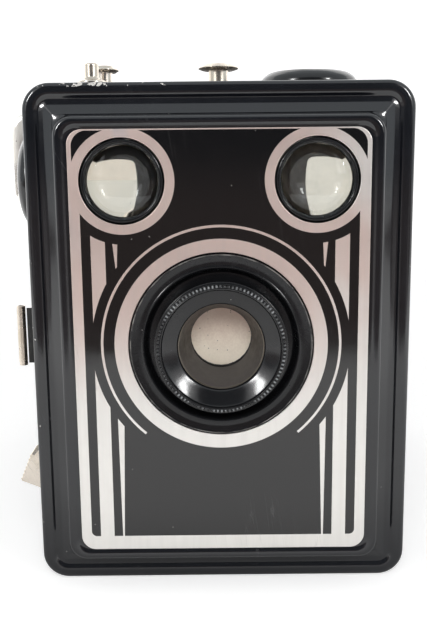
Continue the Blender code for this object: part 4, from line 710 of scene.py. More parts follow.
def plate_finish(colours, pattern):
    """Face plate: bright metal left bare in lines, rings and bars, and black lacquer everywhere else. The
    bare metal turns rosy towards the top with a painted warm reflection.

    Each line or bar is a signed distance in millimetres, negative where the metal is bare.
    """
    finish = Finish("Lacquered face plate", IOR=1.62)
    x, _, z = finish.axes()
    across = abs(x)
    up = z - LENS_Z / MM
    rings_drop = 0.4
    lens_ring_inner = 17.0
    to_lens = length_of(x, up + rings_drop)
    to_finder = length_of(across - FINDER_X / MM, z - FINDER_Z / MM)
    mm = {key: getattr(pattern, key) / MM for key in BoxCameraPattern.__annotations__}

    def band(value, low, high):
        return (low - value).most(value - high)

    def leaning(level, slope, start):
        return (level - up) * slope + start

    middle = (mm["border_top"] - mm["border_bottom"]) / 2
    half = (mm["border_top"] + mm["border_bottom"]) / 2
    corner = up.between(-2.0, 2.0) * 1.9 + 1.1
    side = up.ramp(31.6, 32.6) * 1.25 + mm["border"]
    corner_x = (across - (side - corner)).most(0.0)
    corner_z = (abs(up - middle) - (half - corner)).most(0.0)
    straight = (across - side).most(abs(up - middle) - half).least(0.0)
    border = -((length_of(corner_x, corner_z) - corner).most(straight))
    lens_ring = band(to_lens, lens_ring_inner, mm["lens_ring"])
    arc = band(to_lens, mm["arc_radius"] - mm["arc_width"] / 2, mm["arc_radius"] + mm["arc_width"] / 2)
    arc = arc.most(-(across + up * 0.83))
    bars = band(across, mm["bar_inner"], mm["bar_outer"])
    upper = band(across, leaning(20.3, 0.045, 20.55), leaning(20.3, -0.1, 21.5)).most(8.0 - up)
    lower = band(across, leaning(-21.0, 0.0256, 20.3), leaning(-16.0, -0.0122, 21.5)).most(up + 8.0)
    clear = (mm["finder_gap"] - to_finder).most(mm["lens_gap"] - to_lens)
    shape = border.least(to_finder - mm["finder_ring"]).least(lens_ring).least(arc)
    shape = shape.least(bars.least(upper).least(lower).most(clear))
    silver = 1.0 - shape.ramp(-0.03, 0.03)

    haze = finish.haze(38.0)
    dust = finish.dust(850.0, 0.03, 0.12)
    lines = finish.lines(520.0, 0.15, 0.1)
    drawn = finish.noise(900.0, 3.0, (1.0, 1.0, 0.02))
    tarnish = finish.noise(95.0, 3.0, (1.0, 1.0, 0.35)).ramp(0.60, 0.74)
    # painted reflection: the bare metal turns rosy towards the top, less so at the right, standing in for a
    # warm reflection
    painted_warm_reflection = up.ramp(-16.0, 10.0) * (1.0 - x.ramp(14.0, 30.0) * finish.noise(42.0).ramp(0.35, 0.6) * 0.8)
    bare = finish.layers(colours.silver_low, (painted_warm_reflection, colours.silver_painted_reflection),
                         (drawn.ramp(0.35, 0.75) * 0.12, (0.5, 0.48, 0.46)),
                         (tarnish * up.ramp(10.0, 40.0) * 0.5, (0.52, 0.53, 0.56)))
    tone = finish.layers(colours.lacquer, (haze * 0.5, times(colours.lacquer, 1.6)), (silver, bare),
                         (dust * (1.0 - silver), (0.4, 0.38, 0.36)), (lines * 0.15, (0.2, 0.2, 0.2)))
    relief = drawn * silver * 0.5 + finish.noise(800.0) * 0.4 - silver * 4.0
    return finish.done(tone, 0.07 + silver * 0.33 + haze * 0.05 + dust * 0.3 + lines * 0.15, relief, 0.006,
                       0.4, Metallic=silver * 0.8)


def plastic_finish(name, base, roughness, ior=1.5, scuff_and_painted_highlight_tone=None):
    """Moulded or japanned black: haze, dust and hairlines over a gloss, and crests painted paler, partly as
    scuffing and partly as a painted highlight.
    """
    finish = Finish(name, IOR=ior)
    haze = finish.haze(70.0)
    dust = finish.dust(1000.0, 0.03, 0.14)
    lines = finish.lines(600.0, 0.9, 0.08)
    tone = finish.layers(base, (haze * 0.5, times(base, 1.6)), (dust, (0.45, 0.44, 0.42)))
    rough = roughness + haze * 0.06 + dust * 0.35 + lines * 0.2
    if scuff_and_painted_highlight_tone:
        # paler crests: partly scuffing, partly a painted highlight on the knurl's beads and the dish's lip
        crest_reader = add_node(finish.tree, "ShaderNodeAttribute", attribute_name="crest")
        scuff_and_painted_highlight = Term(finish.tree, crest_reader.outputs["Fac"]) * finish.noise(330.0, 4.0).ramp(0.38, 0.66)
        tone = finish.layers(tone, (scuff_and_painted_highlight, scuff_and_painted_highlight_tone))
        rough = rough + scuff_and_painted_highlight * 0.15
    return finish.done(tone, rough, finish.noise(900.0), 0.004, 0.3)


def paint_crest_scuff_and_highlight(obj, place, crest_of):
    """Write the attribute `crest`: crest_of(angle, radius, height) about a forward axis through the place. It
    marks the crests that the finish paints paler, as scuffing and as a painted highlight.
    """
    points = np.empty(len(obj.data.vertices) * 3)
    obj.data.vertices.foreach_get("co", points)
    across, back, up = (points.reshape(-1, 3) - np.array(place)).T
    crest = crest_of(np.arctan2(up, across), np.hypot(across, up), -back)
    obj.data.attributes.new("crest", "FLOAT", "POINT").data.foreach_set("value", crest.astype(np.float32))

def matt_finish(name, base, roughness=0.75, high=None, heights=(0.0, 1.0)):
    """Flat black paint with a fine tooth and scuffed patches, and above the given heights a painted tone that
    stands in for how the light falls: painted shade in the funnel, painted light in the finder lining.
    """
    finish = Finish(name, IOR=1.45)
    # painted light and shade: a tone laid above the given heights, darker in the funnel and paler in the
    # finder lining
    if high:
        base = finish.layers(base, (finish.axes()[2].ramp(*(level / MM for level in heights)), high))
    haze = finish.haze(90.0, 0.6)
    dust = finish.dust(700.0, 0.03, 0.2)
    tone = finish.layers(base, (haze * 0.25, (0.05, 0.048, 0.045)), (dust, (0.3, 0.29, 0.27)))
    return finish.done(tone, roughness - haze * 0.12, finish.noise(2600.0, 3.0), 0.02, 0.5)


def metal_finish(name, base, roughness, tarnish_tone, tarnish_amount=0.5, drawn=None):
    """Plated metal: cloudy tarnish, fine scratches and specks of dirt."""
    finish = Finish(name, Metallic=1.0)
    haze = finish.haze(160.0, 0.15)
    lines = finish.lines(900.0, 0.7, 0.25)
    dirt = finish.dust(1100.0, 0.03, 0.2)
    grain = finish.noise(1500.0, 2.0, drawn)
    tone = finish.layers(base, (haze * tarnish_amount, tarnish_tone),
                         (grain.ramp(0.3, 0.8) * 0.15, times(base, 0.7)), (dirt * 0.7, (0.06, 0.05, 0.04)))
    return finish.done(tone, roughness + haze * 0.12 + lines * 0.2 + dirt * 0.3,
                       grain * 0.5 + haze * 0.5 - lines, 0.004, 0.3)


def leather_finish(settings):
    """Grained leatherette: pebbled cells, pale dust in the creases and a sheen polished onto the crests."""
    finish = Finish("Leatherette", IOR=1.5)
    height = finish.effect("leather", "Height", scale=820.0)
    crease = finish.effect("leather", "Crease", scale=820.0)
    haze = finish.haze(40.0)
    dust = finish.dust(500.0, 0.03, 0.17)
    tone = finish.layers(settings.leather, (haze * 0.6, times(settings.leather, 1.9)),
                         (crease * 0.6, (0.030, 0.029, 0.028)), (dust, (0.11, 0.105, 0.10)))
    return finish.done(tone, 0.30 + crease * 0.35 + haze * 0.08, height, 0.30)


def glass_finish(name, tint, roughness=0.0):
    """Clear or tinted glass with a light film of dust."""
    finish = Finish(name, Transmission_Weight=1.0, IOR=1.52)
    dust = finish.dust(900.0, 0.03, 0.15)
    tone = finish.layers(tint, (dust * 0.8, (0.5, 0.5, 0.48)))
    return finish.done(tone, roughness + dust * 0.4 + finish.haze(120.0) * 0.01)


def mirror_finish():
    """Old surface-silvered mirror: cream tint, cloudy film and tarnished spots."""
    finish = Finish("Silvered mirror", Metallic=1.0)
    haze = finish.haze(140.0, 0.35)
    tone = finish.layers((0.88, 0.78, 0.68), (haze * 0.5, (0.70, 0.63, 0.55)),
                         (finish.dust(500.0, 0.12, 0.3) * 0.6, (0.25, 0.23, 0.20)))
    return finish.done(tone, 0.01 + haze * 0.03)


def blade_finish(settings):
    """Shutter blade: dull plated sheet with dark specks, and a painted shade that turns its upper part
    brownish.
    """
    finish = Finish("Shutter blade", Metallic=0.15)
    haze = finish.haze(260.0, 0.5)
    # painted shade: brownish and darker towards the top, where the lens ring's mouth shades the blade, with a
    # rosy tint that is a painted reflection
    painted_top_shade = (finish.axes()[2] - LENS_Z / MM + haze * 1.5).ramp(-4.0, 6.5)
    tone = finish.layers(settings.blade, (haze * 0.3, times(settings.blade, 0.85)),
                         (painted_top_shade * 0.6, (0.55, 0.33, 0.26)),
                         (finish.dust(1000.0, 0.5, 0.24) * 0.65, (0.10, 0.07, 0.05)))
    return finish.done(tone, 0.45 + haze * 0.15, finish.noise(1800.0), 0.006, 0.4)


def make_finishes():
    """Build the shared effects, and then every finish, once."""
    colours = bpy.context.scene.box_camera_colours
    GROUPS.update(dust=make_dust_group(), hairlines=make_hairline_group(), haze=make_haze_group(),
                  leather=make_leather_group())
    FINISHES.update({
        "enamel": enamel_finish(colours),
        "plate": plate_finish(colours, bpy.context.scene.box_camera_pattern),
        "gloss": plastic_finish("Gloss black", colours.plastic, 0.14),
        "rim": plastic_finish("Rim black", colours.plastic, 0.08, 1.36),
        # satin: on the dish's lip its paler tone is a painted highlight, partly also scuffing
        "satin": plastic_finish("Satin black", times(colours.plastic, 1.2), 0.12, 1.4,
                                (0.20, 0.19, 0.18)),
        # knurl: bead tops painted paler, partly as scuffing and partly as a painted highlight
        "knurl": plastic_finish("Rubbed knurl", colours.plastic, 0.14, 1.5, (0.26, 0.27, 0.28)),
        # funnel: darker towards the top, a painted shade where the lens ring's mouth shades it
        "funnel": matt_finish("Funnel paint", (0.075, 0.068, 0.066), 0.55, (0.020, 0.016, 0.014),
                              (LENS_Z - 7.0 * MM, LENS_Z + 1.0 * MM)),
        "matt": matt_finish("Matt black paint", (0.014, 0.014, 0.014)),
        # finder lining: its base is painted paler than black paint, and paler still towards the top, a
        # painted light inside the dark housing
        "shade": matt_finish("Finder lining", (0.11, 0.107, 0.102), 0.5, (0.6, 0.58, 0.56),
                             (FINDER_Z + 1.5 * MM, FINDER_Z + 6.0 * MM)),
        "nickel": metal_finish("Nickel plate", colours.nickel, 0.2, (0.50, 0.42, 0.30), 0.45),
        "chrome": metal_finish("Chrome plate", colours.chrome, 0.24, (0.66, 0.62, 0.55), 0.3),
        "steel": metal_finish("Steel", (0.52, 0.51, 0.49), 0.3, (0.34, 0.28, 0.22), 0.4, (0.05, 1.0, 1.0)),
        "blade": blade_finish(colours),
        "leather": leather_finish(colours),
        "glass": glass_finish("Finder glass", (0.96, 0.97, 0.95)),
        "yellow": glass_finish("Yellow filter", (0.95, 0.72, 0.12)),
        "ruby": glass_finish("Ruby celluloid", (0.55, 0.02, 0.015), 0.08),
        "mirror": mirror_finish(),
    })
def finish_nodes(**nodes):
    """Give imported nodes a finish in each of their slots: finish="node node ..."."""
    for finish, names in nodes.items():
        for name in names.split():
            slots = NODES[name].data.materials
            if not len(slots):
                slots.append(FINISHES[finish])
            for index in range(len(slots)):
                slots[index] = FINISHES[finish]


# ---- front frame and face plate --------------------------------------------------------------------
class BOXCAM_OT_frame(bpy.types.Operator):
    """Make the enamelled front frame: one pressing with a rolled rim, a crease, a mitred band and a bead"""

    bl_idname = "boxcam.frame"
    bl_label = "Front frame"

    def execute(self, context):
        wrap = FRAME_HIGH[1]
        shoulder = wrap - 2.7 * MM
        bead = shoulder - PLATE_Y
        # inset, forward of the shoulder, outline corner radius, rounding
        corners = np.array([
            (0.0, -2.7, 5.6, 0.0), (0.0, -0.35, 5.6, 0.9), (0.75, 0.28, 4.9, 0.8), (2.3, 0.32, 3.4, 0.9),
            (3.25, -0.22, 2.5, 0.22), (3.75, -0.1, 1.9, 0.3), (4.4, 0.06, 0.9, 0.45),
            (6.28, 1.17, 0.45, 0.42), (6.5, 1.75, 3.9, 0.3), (7.02, bead / MM - 0.75, 3.7, 0.45),
            (7.55, bead / MM - 0.28, 3.5, 0.35), (8.5, bead / MM - 0.34, 3.0, 0.7),
            (9.25, bead / MM - 0.72, 2.5, 0.3), (10.6, bead / MM - 0.72, 2.2, 0.0),
        ])
        path = rounded_path(corners) * MM
        inner = path.copy()
        along = np.gradient(path[:, :2], axis=0)
        along /= np.maximum(np.linalg.norm(along, axis=1), TINY)[:, None]
        sheet = 0.45 * MM
        least_radius = 0.2 * MM
        inner[:, 0] += along[:, 1] * sheet
        inner[:, 1] -= along[:, 0] * sheet
        inner[0, 1] = path[0, 1]
        inner[:, 2] = np.maximum(inner[:, 2] - sheet, least_radius)
        rings = np.concatenate([path, inner[::-1]])
        grid = swept_outline(rings[:, 0], rings[:, 1], rings[:, 2], HALF_WIDTH, HEIGHT / 2, 14)
        rim = surface(placed(grid, (0.0, shoulder, HEIGHT / 2), "forward"), wrap_rows=True, wrap_columns=True)
        add_piece("frame_pressing", [rim], "enamel", "front_frame", sharp_angle=55.0)
        behind_plate = 0.75 * MM
        sheet_parts = front_sheet(inset_side=10.0 * MM, inset_top=9.6 * MM, corner=2.4 * MM,
                                  lens_hole=16.7 * MM, finder_hole=8.45 * MM, y=PLATE_Y + behind_plate,
                                  spacing=1.6 * MM)
        platform = add_piece("frame_platform", sheet_parts, "enamel", "front_frame", extra=True)
        solidify(platform, 0.4 * MM)
        return {"FINISHED"}


class BOXCAM_OT_plate(bpy.types.Operator):
    """Make the face plate: a thin sheet with three round holes and the lacquered pattern"""

    bl_idname = "boxcam.plate"
    bl_label = "Face plate"

    def execute(self, context):
        inset_side = HALF_WIDTH - PLATE_HIGH[0]
        inset_top = HEIGHT - PLATE_HIGH[2]
        parts = front_sheet(inset_side, inset_top, corner=3.0 * MM, lens_hole=18.9 * MM,
                            finder_hole=8.5 * MM, y=PLATE_Y)
        obj = add_piece("plate_sheet", parts, "plate", "face_plate")
        solidify(obj, 0.4 * MM)
        bevel(obj, 0.14 * MM, 3)
        return {"FINISHED"}


# ---- lens ------------------------------------------------------------------------------------------
class BOXCAM_OT_lens(bpy.types.Operator):
    """Make the lens dish and the knurled lens ring, and finish the shutter behind them"""

    bl_idname = "boxcam.lens"
    bl_label = "Lens and shutter"

    def execute(self, context):
        sizes = context.scene.box_camera_sizes
        axis = (0.0, PLATE_Y, LENS_AXIS_Z)
        dish = profile_of(
            (18.6, -0.4, 0.0), (18.6, 0.36, 0.1), (18.45, 0.5, 0.08), (18.2, 0.38, 0.1), (17.0, 0.2, 0.9),
            (16.3, 0.2, 0.2), (16.05, 0.32, 0.1), (15.75, 0.22, 0.15), (15.5, -0.15, 0.25), (15.3, -1.4, 0.4),
            (15.1, -2.2, 0.4), (14.8, -2.4, 0.2), (9.5, -2.4, 0.0), (9.5, -3.0, 0.0), (16.1, -3.0, 0.2),
            (16.1, -0.4, 0.0))
        turning = add_turning("dish_turning", dish, axis, "forward", "satin", "lens_dish", 224)
        # the dish's lip is painted paler: a painted highlight, partly also scuffing
        paint_crest_scuff_and_highlight(turning, axis, lambda angle, radius, height: (radius > 18.3 * MM) * (height > 0.4 * MM) * 0.9)
        self.ring(sizes, axis)
        finish_nodes(matt="shutter_case shutter_board lens_cell aperture_slide", blade="shutter_blade",
                     steel="blade_pivot", glass="taking_lens", yellow="yellow_filter")
        return {"FINISHED"}

    def ring(self, sizes, axis):
        """Ring turned in one piece: flared foot, side wall, conical mouth and the funnel behind it."""
        funnel_radius = 8.56 * MM
        knurl_edge = 4.36 * MM
        profile = profile_of(
            (6.4, -7.6, 0.0), (8.55, 1.1, 0.25), (8.68, 2.0, 0.2), (8.95, 2.4, 0.2), (10.4, 3.18, 1.5),
            (11.86, 4.05, 0.15), (12.02, 4.62, 0.06), (12.25, 4.66, 0.05), (12.5, 4.5, 0.1),
            (12.72, 4.22, 0.1), (12.86, 3.85, 0.1), (12.95, 3.5, 0.1), (13.4, 3.4, 0.15), (13.46, 3.1, 0.1),
            (13.3, 2.85, 0.1), (13.2, 0.6, 0.1), (13.1, 0.3, 0.1), (9.2, 0.0, 0.0), (9.2, -3.3, 0.0),
            (7.6, -7.6, 0.0), steps=5)
        obj = add_turning("ring_turning", profile, axis, "forward", "gloss", "lens_ring", 224,
                          sharp_angle=50.0)
        obj.data.materials.append(FINISHES["funnel"])
        centres = np.empty(len(obj.data.polygons) * 3)
        obj.data.polygons.foreach_get("center", centres)
        spread = np.hypot(*(centres.reshape(-1, 3) - np.array(axis))[:, [0, 2]].T)
        obj.data.polygons.foreach_set("material_index", (spread < funnel_radius).astype(np.int32))
        belt = add_piece("ring_knurl", [self.knurl(sizes, axis)], "knurl", "lens_ring", extra=True,
                         sharp_angle=60.0)
        # bead tops painted paler: partly scuffing, partly a painted highlight
        paint_crest_scuff_and_highlight(belt, axis, lambda angle, radius, height: (
            np.abs(np.cos(angle * sizes.knurl_teeth / 2)) ** 5 * (height > knurl_edge)))

    def knurl(self, sizes, axis):
        """Beaded belt on the ring's edge: its profile rises by depth * |cos(n a / 2)|^0.6 round the axis."""
        foot = np.array([(12.3, 4.3), (12.34, 4.6), (12.44, 4.58), (12.54, 4.5), (12.66, 4.36), (12.76, 4.2),
                         (12.86, 3.9), (12.6, 3.8)]) * MM
        rise = np.array([0.0, 0.2, 0.7, 1.0, 1.0, 0.8, 0.25, 0.0])
        lean = np.radians([90.0, 85.0, 75.0, 60.0, 50.0, 35.0, 20.0, 0.0])
        angle = np.linspace(0.0, TAU, sizes.knurl_teeth * 8, endpoint=False)
        bead = np.abs(np.cos(angle * sizes.knurl_teeth / 2)) ** 0.6
        lift = sizes.knurl_depth * rise[:, None] * bead
        radius = foot[:, 0, None] + lift * np.cos(lean)[:, None]
        height = foot[:, 1, None] + lift * np.sin(lean)[:, None]
        grid = np.stack([radius * np.cos(angle), radius * np.sin(angle), height], axis=-1)
        return surface(placed(grid, axis, "forward"), wrap_rows=True, wrap_columns=True)


# ---- finders ---------------------------------------------------------------------------------------
def cap_profile(radius, curve, edge_height, sign, steps=10):
    """Profile of a spherical cap from the axis to its edge: h = edge + sign (sag(radius) - sag(r))."""
    r = np.linspace(0.0, radius, steps)
    sag = curve - np.sqrt(curve ** 2 - r ** 2)
    full = curve - math.sqrt(curve ** 2 - radius ** 2)
    return np.column_stack([r, edge_height + sign * (full - sag)])


def mask_sheet(half_size, opening, shift, place, axis, thickness=0.25 * MM):
    """A thin square sheet with a shifted oblong opening: two outlines joined front and back."""
    outer = rounded_box_points(half_size, half_size, 0.3 * MM, 2)[0]
    inner = rounded_box_points(opening[0], opening[1], 0.5 * MM, 2)[0] + np.asarray(shift)
    grid = stacked([(outer, 0.0), (outer, thickness), (inner, thickness), (inner, 0.0)])
    return surface(placed(grid, place, axis), wrap_rows=True, wrap_columns=True)


class BOXCAM_OT_finders(bpy.types.Operator):
    """Make the finder rims, their lenses, the masks and the windows at the side and on top"""

    bl_idname = "boxcam.finders"
    bl_label = "Finders"

    def execute(self, context):
        sizes = context.scene.box_camera_sizes
        rim = profile_of(
            (7.35, -9.0, 0.0), (8.2, -9.0, 0.0), (8.2, -0.5, 0.3), (8.12, -0.08, 0.25), (7.75, 0.06, 0.3),
            (7.42, -0.12, 0.25), (7.2, -0.75, 0.3), (7.12, -1.6, 0.2), (7.35, -1.9, 0.1))
        radius = 7.05 * MM
        front = cap_profile(radius, sizes.lens_curve, -1.95 * MM, 1.0)
        back = cap_profile(radius, sizes.lens_curve, -2.95 * MM, -1.0)
        lens = np.concatenate([front, back[::-1]])
        for side, sign in (("left", -1.0), ("right", 1.0)):
            place = (sign * FINDER_X, PLATE_Y, FINDER_Z)
            add_turning(f"finder_rim_{side}", rim, place, "forward", "rim", f"finder_sleeve_{side}")
            add_turning(f"finder_glass_{side}", lens, place, "forward", "glass", f"finder_lens_{side}", 96,
                        False, sharp_angle=60.0)
            finish_nodes(shade=f"finder_housing_{side}", mirror=f"finder_mirror_{side}")
        self.masks(sizes)
        self.windows()
        return {"FINISHED"}

    def masks(self, sizes):
        """The masks under the two windows, each on its own side of the mirrors."""
        wide, narrow = sizes.mask_width / 2, sizes.mask_height / 2
        size = 8.6 * MM
        inner_side = box_of("finder_housing_left")[0][0] + 0.4 * MM
        inner_top = box_of("finder_housing_right")[1][2] - 0.7 * MM
        side = mask_sheet(size, (narrow, wide), (-1.12 * MM, -0.55 * MM), (inner_side, MIRROR_Y, FINDER_Z),
                          "right")
        top = mask_sheet(size, (wide, narrow), (-0.5 * MM, 0.45 * MM), (FINDER_X, MIRROR_Y, inner_top), "up")
        add_piece("finder_mask_side", [side], "shade", "finder_housing_left", extra=True)
        add_piece("finder_mask_top", [top], "shade", "finder_housing_right", extra=True)

    def windows(self):
        """The two round windows: a domed bezel and a shallow convex glass."""
        bezel = profile_of(
            (7.2, -1.6, 0.0), (8.3, -1.6, 0.0), (8.3, 0.02, 0.0), (10.4, 0.02, 0.1), (10.4, 0.6, 0.3),
            (10.0, 1.5, 0.7), (9.0, 2.35, 0.8), (8.0, 2.75, 0.5), (7.4, 2.7, 0.25), (7.2, 2.2, 0.2))
        pane = 6.95 * MM
        under = -0.6 * MM
        glass = np.concatenate([cap_profile(pane, 24.0 * MM, 1.1 * MM, 1.0), [(pane, under), (0.0, under)]])
        for where, axis, place in (("side", "left", (COVER_LOW[0], MIRROR_Y, FINDER_Z)),
                                   ("top", "up", (FINDER_X, MIRROR_Y, COVER_HIGH[2]))):
            add_turning(f"window_rim_{where}", bezel, place, axis, "gloss", f"window_bezel_{where}")
            add_turning(f"window_pane_{where}", glass, place, axis, "glass", f"window_glass_{where}", 96,
                        False, sharp_angle=50.0)


# ---- fittings --------------------------------------------------------------------------------------
def stud_profile(head, stem):
    """A strap stud: hollow top, thin brim that comes to an edge, and a straight stem on its rivet."""
    return profile_of(
        (0.0, 4.35, 0.0), (stem * 0.55, 4.42, 0.5), (stem * 0.95, 4.86, 0.4), (stem + 0.55, 4.9, 0.5),
        (head * 0.8, 4.62, 0.6), (head, 4.05, 0.12), (head - 0.06, 3.86, 0.08), (head * 0.82, 3.56, 0.4),
        (stem + 0.75, 3.42, 0.4), (stem + 0.04, 3.6, 0.12), (stem, 3.3, 0.1), (stem, 0.3, 0.1),
        (stem + 0.3, 0.16, 0.08), (stem + 0.3, 0.02, 0.0), (1.6, 0.0, 0.0),
        (1.6, -1.9, 0.0), (2.7, -1.9, 0.1), (2.7, -2.55, 0.3), (0.0, -2.6, 0.0),
    )


class BOXCAM_OT_top(bpy.types.Operator):
    """Make the strap studs, the flash stud and the contact pin on top"""

    bl_idname = "boxcam.top"
    bl_label = "Top fittings"

    def execute(self, context):
        for node, head, stem in (("strap_stud_front", 4.4, 2.12), ("strap_stud_rear", 4.4, 2.12),
                                 ("flash_stud", 3.2, 1.75)):
            add_turning(f"{node}_turning", stud_profile(head, stem), self.above(node), "up", "nickel", node,
                        96, False)
        place = self.above("flash_contact")
        pin = profile_of(
            (0.0, 4.6, 0.0), (1.2, 4.58, 0.2), (1.5, 4.3, 0.2), (1.5, 1.75, 0.2), (1.8, 1.62, 0.15),
            (1.95, 1.3, 0.15), (2.8, 1.05, 0.3), (3.06, 0.8, 0.12), (3.06, 0.42, 0.05), (1.2, 0.4, 0.0),
            (1.2, -1.9, 0.0), (2.7, -1.9, 0.1), (2.7, -2.6, 0.3), (0.0, -2.6, 0.0))
        add_turning("contact_turning", pin, place, "up", "nickel", "flash_contact", 96, False)
        collar = profile_of(
            (1.5, -1.6, 0.0), (2.2, -1.6, 0.0), (2.2, 0.02, 0.0), (3.3, 0.02, 0.05), (3.3, 0.3, 0.1),
            (3.15, 0.4, 0.08), (1.5, 0.4, 0.0))
        add_turning("contact_collar", collar, place, "up", "satin", "contact_insulator", 96)
        return {"FINISHED"}

    def above(self, node):
        """The place on the covering's top over the middle of a node."""
        middle = centre_of(node)
        return middle[0], middle[1], COVER_HIGH[2]


class BOXCAM_OT_side(bpy.types.Operator):
    """Make the winding key and the pull tab at the left side, and finish the release lever"""

    bl_idname = "boxcam.side"
    bl_label = "Side fittings"

    def execute(self, context):
        self.key()
        self.tab(context.scene.box_camera_sizes)
        self.lever()
        return {"FINISHED"}

    def key(self):
        """Shaft and boss turned about the spool's axis, and a wing whose flat swells towards its middle."""
        low, high = box_of("winding_key")
        middle = centre_of("takeup_spool")
        shaft = profile_of(
            (0.0, -9.5, 0.0), (2.1, -9.5, 0.2), (2.1, 0.3, 0.0), (4.0, 0.3, 0.1), (4.0, 1.7, 0.3),
            (3.2, 2.6, 0.5), (1.6, 3.4, 0.6), (1.4, 5.0, 0.4), (0.0, 5.2, 0.0))
        boss = lathe(shaft, (COVER_LOW[0], middle[1], middle[2]), "left", 96, closed=False)
        reach = 8.2 * MM
        past_end = 1.1 * MM
        half_z = (high[2] - low[2]) / 2
        outline = rounded_box_points(reach / 2, half_z, 4.0 * MM, 16)[0]
        share = (0.0, 0.55, 0.86, 0.97, 1.0)
        height = (0.62, 0.62, 0.60, 0.48, 0.12)
        half = stacked([(outline * part, level * MM) for part, level in zip(share, height)])
        grid = np.concatenate([half, half[::-1] * np.array([1.0, 1.0, -1.0])])
        wing = surface(placed(grid, (low[0] + reach / 2 - past_end, middle[1], middle[2]), "forward"),
                       wrap_columns=True)
        add_piece("key_forging", [boss, wing], "chrome", "winding_key", "takeup", sharp_angle=50.0)

    def tab(self, sizes):
        """Rolled tab: a spiral in plan, r = r0 - pitch * angle, carried straight up."""
        low, high = box_of("pull_tab")
        middle = (low + high) / 2
        angle = np.radians(np.linspace(-20.0, 330.0, 48))
        pitch = sizes.tab_sheet * 0.15
        radius = (high[0] - low[0]) / 2 - pitch * (angle - angle[0]) / TAU
        around = np.column_stack([np.cos(angle), np.sin(angle)])
        outside = radius[:, None] * around
        inside = (radius - sizes.tab_sheet)[:, None] * around
        ring = np.concatenate([outside, inside[::-1]]) + middle[:2]
        levels = np.linspace(low[2], high[2], 3)
        wall = surface(stacked([(ring, level) for level in levels]), wrap_columns=True)
        caps = [surface(stacked([(outside + middle[:2], level), (inside + middle[:2], level)]))
                for level in (low[2], high[2])]
        add_piece("tab_roll", [wall, *caps], "nickel", "pull_tab", "aperture", sharp_angle=40.0)

    def lever(self):
        """Finish the lever as it is packed, and its pivot and spring."""
        finish_nodes(nickel="release_lever", steel="lever_pivot release_spring")


# ---- body ------------------------------------------------------------------------------------------
class BOXCAM_OT_body(bpy.types.Operator):
    """Finish the shell, its covering, the bushes and the film carrier"""

    bl_idname = "boxcam.body"
    bl_label = "Body"

    def execute(self, context):
        finish_nodes(leather="leatherette_wrap",
                     matt="body_shell carrier_side_left carrier_side_right carrier_front light_cone "
                          "film_gate",
                     steel="film_roller_top film_roller_bottom takeup_spool supply_spool hinge_leaf_body "
                           "hinge_pin")
        self.bushes(context.scene.box_camera_sizes)
        return {"FINISHED"}

    def bushes(self, sizes):
        """Tripod bushes: flange, bright rim and a bore with a fine thread, r = r0 - d |saw(h / pitch)|."""
        bore = 3.15 * MM
        groove = 0.28 * MM
        turns = np.arange(0.35 * MM, 5.8 * MM, sizes.thread_pitch / 2)
        depth = np.where(np.arange(len(turns)) % 2 == 0, 0.0, groove)
        thread = np.column_stack([bore + depth, turns])
        rest = np.array([(3.2, 6.0), (5.0, 6.0), (5.0, 2.7), (7.0, 2.7), (7.0, 1.9), (5.0, 1.9), (5.0, 0.3),
                         (4.85, 0.15), (3.5, 0.15)]) * MM
        profile = np.concatenate([thread, rest])
        for node, axis, x, z in (("tripod_bush_bottom", "up", 0.0, 0.0),
                                 ("tripod_bush_side", "left", HALF_WIDTH, LENS_Z)):
            add_turning(f"{node}_turning", profile, (x, centre_of(node)[1], z), axis, "steel", node, 72,
                        sharp_angle=30.0)


class BOXCAM_OT_door(bpy.types.Operator):
    """Finish the back door, its covering and the red window, make the window's ring and the catch's ribs, and
    finish the catch and hinge
    """

    bl_idname = "boxcam.door"
    bl_label = "Back door"

    def execute(self, context):
        finish_nodes(enamel="back_door", leather="door_leatherette", ruby="red_window", nickel="door_catch",
                     steel="hinge_leaf_door")
        low, high = box_of("red_window_ring")
        middle = (low + high) / 2
        ring = profile_of(
            (3.8, 0.0, 0.0), (5.8, 0.0, 0.0), (5.8, 0.3, 0.1), (5.5, 0.75, 0.3), (4.7, 0.9, 0.4),
            (4.1, 0.75, 0.2), (3.8, 0.35, 0.1))
        add_turning("window_ring_turning", ring, (middle[0], low[1], middle[2]), "backward", "nickel",
                    "red_window_ring", 96, body="door")
        self.catch_ribs()
        return {"FINISHED"}

    def catch_ribs(self):
        """Three finger ribs pressed out of the catch near its free end."""
        low, high = box_of("door_catch")
        outline = rounded_box_points((high[2] - low[2]) / 2 - 1.2 * MM, 0.3 * MM, 0.29 * MM, 6)[0]
        rib = extruded(outline, -0.2 * MM, 0.28 * MM)
        ribs = [(placed(rib[0], (low[0], low[1] + step * MM, (low[2] + high[2]) / 2), "left"), rib[1])
                for step in (1.0, 2.2, 3.4)]
        add_piece("catch_ribs", ribs, "nickel", "door_catch", "door", extra=True)


# ---- stage -----------------------------------------------------------------------------------------
def light_path(tree):
    """Whether a ray comes from the camera, from a glossy bounce or through glass: three terms."""
    path = tree.nodes.new("ShaderNodeLightPath")
    return [Term(tree, path.outputs[f"Is {kind} Ray"]) for kind in ("Camera", "Glossy", "Transmission")]


def stage_sheet(name, across, depth, height, finish):
    """A sheet of the stage: a line in depth and height, drawn out across."""
    grid = np.stack(np.broadcast_arrays(across[None, :], depth[:, None], height[:, None]), axis=-1)
    obj = add_object(name, [surface(grid)], finish.material, 60.0)
    return obj


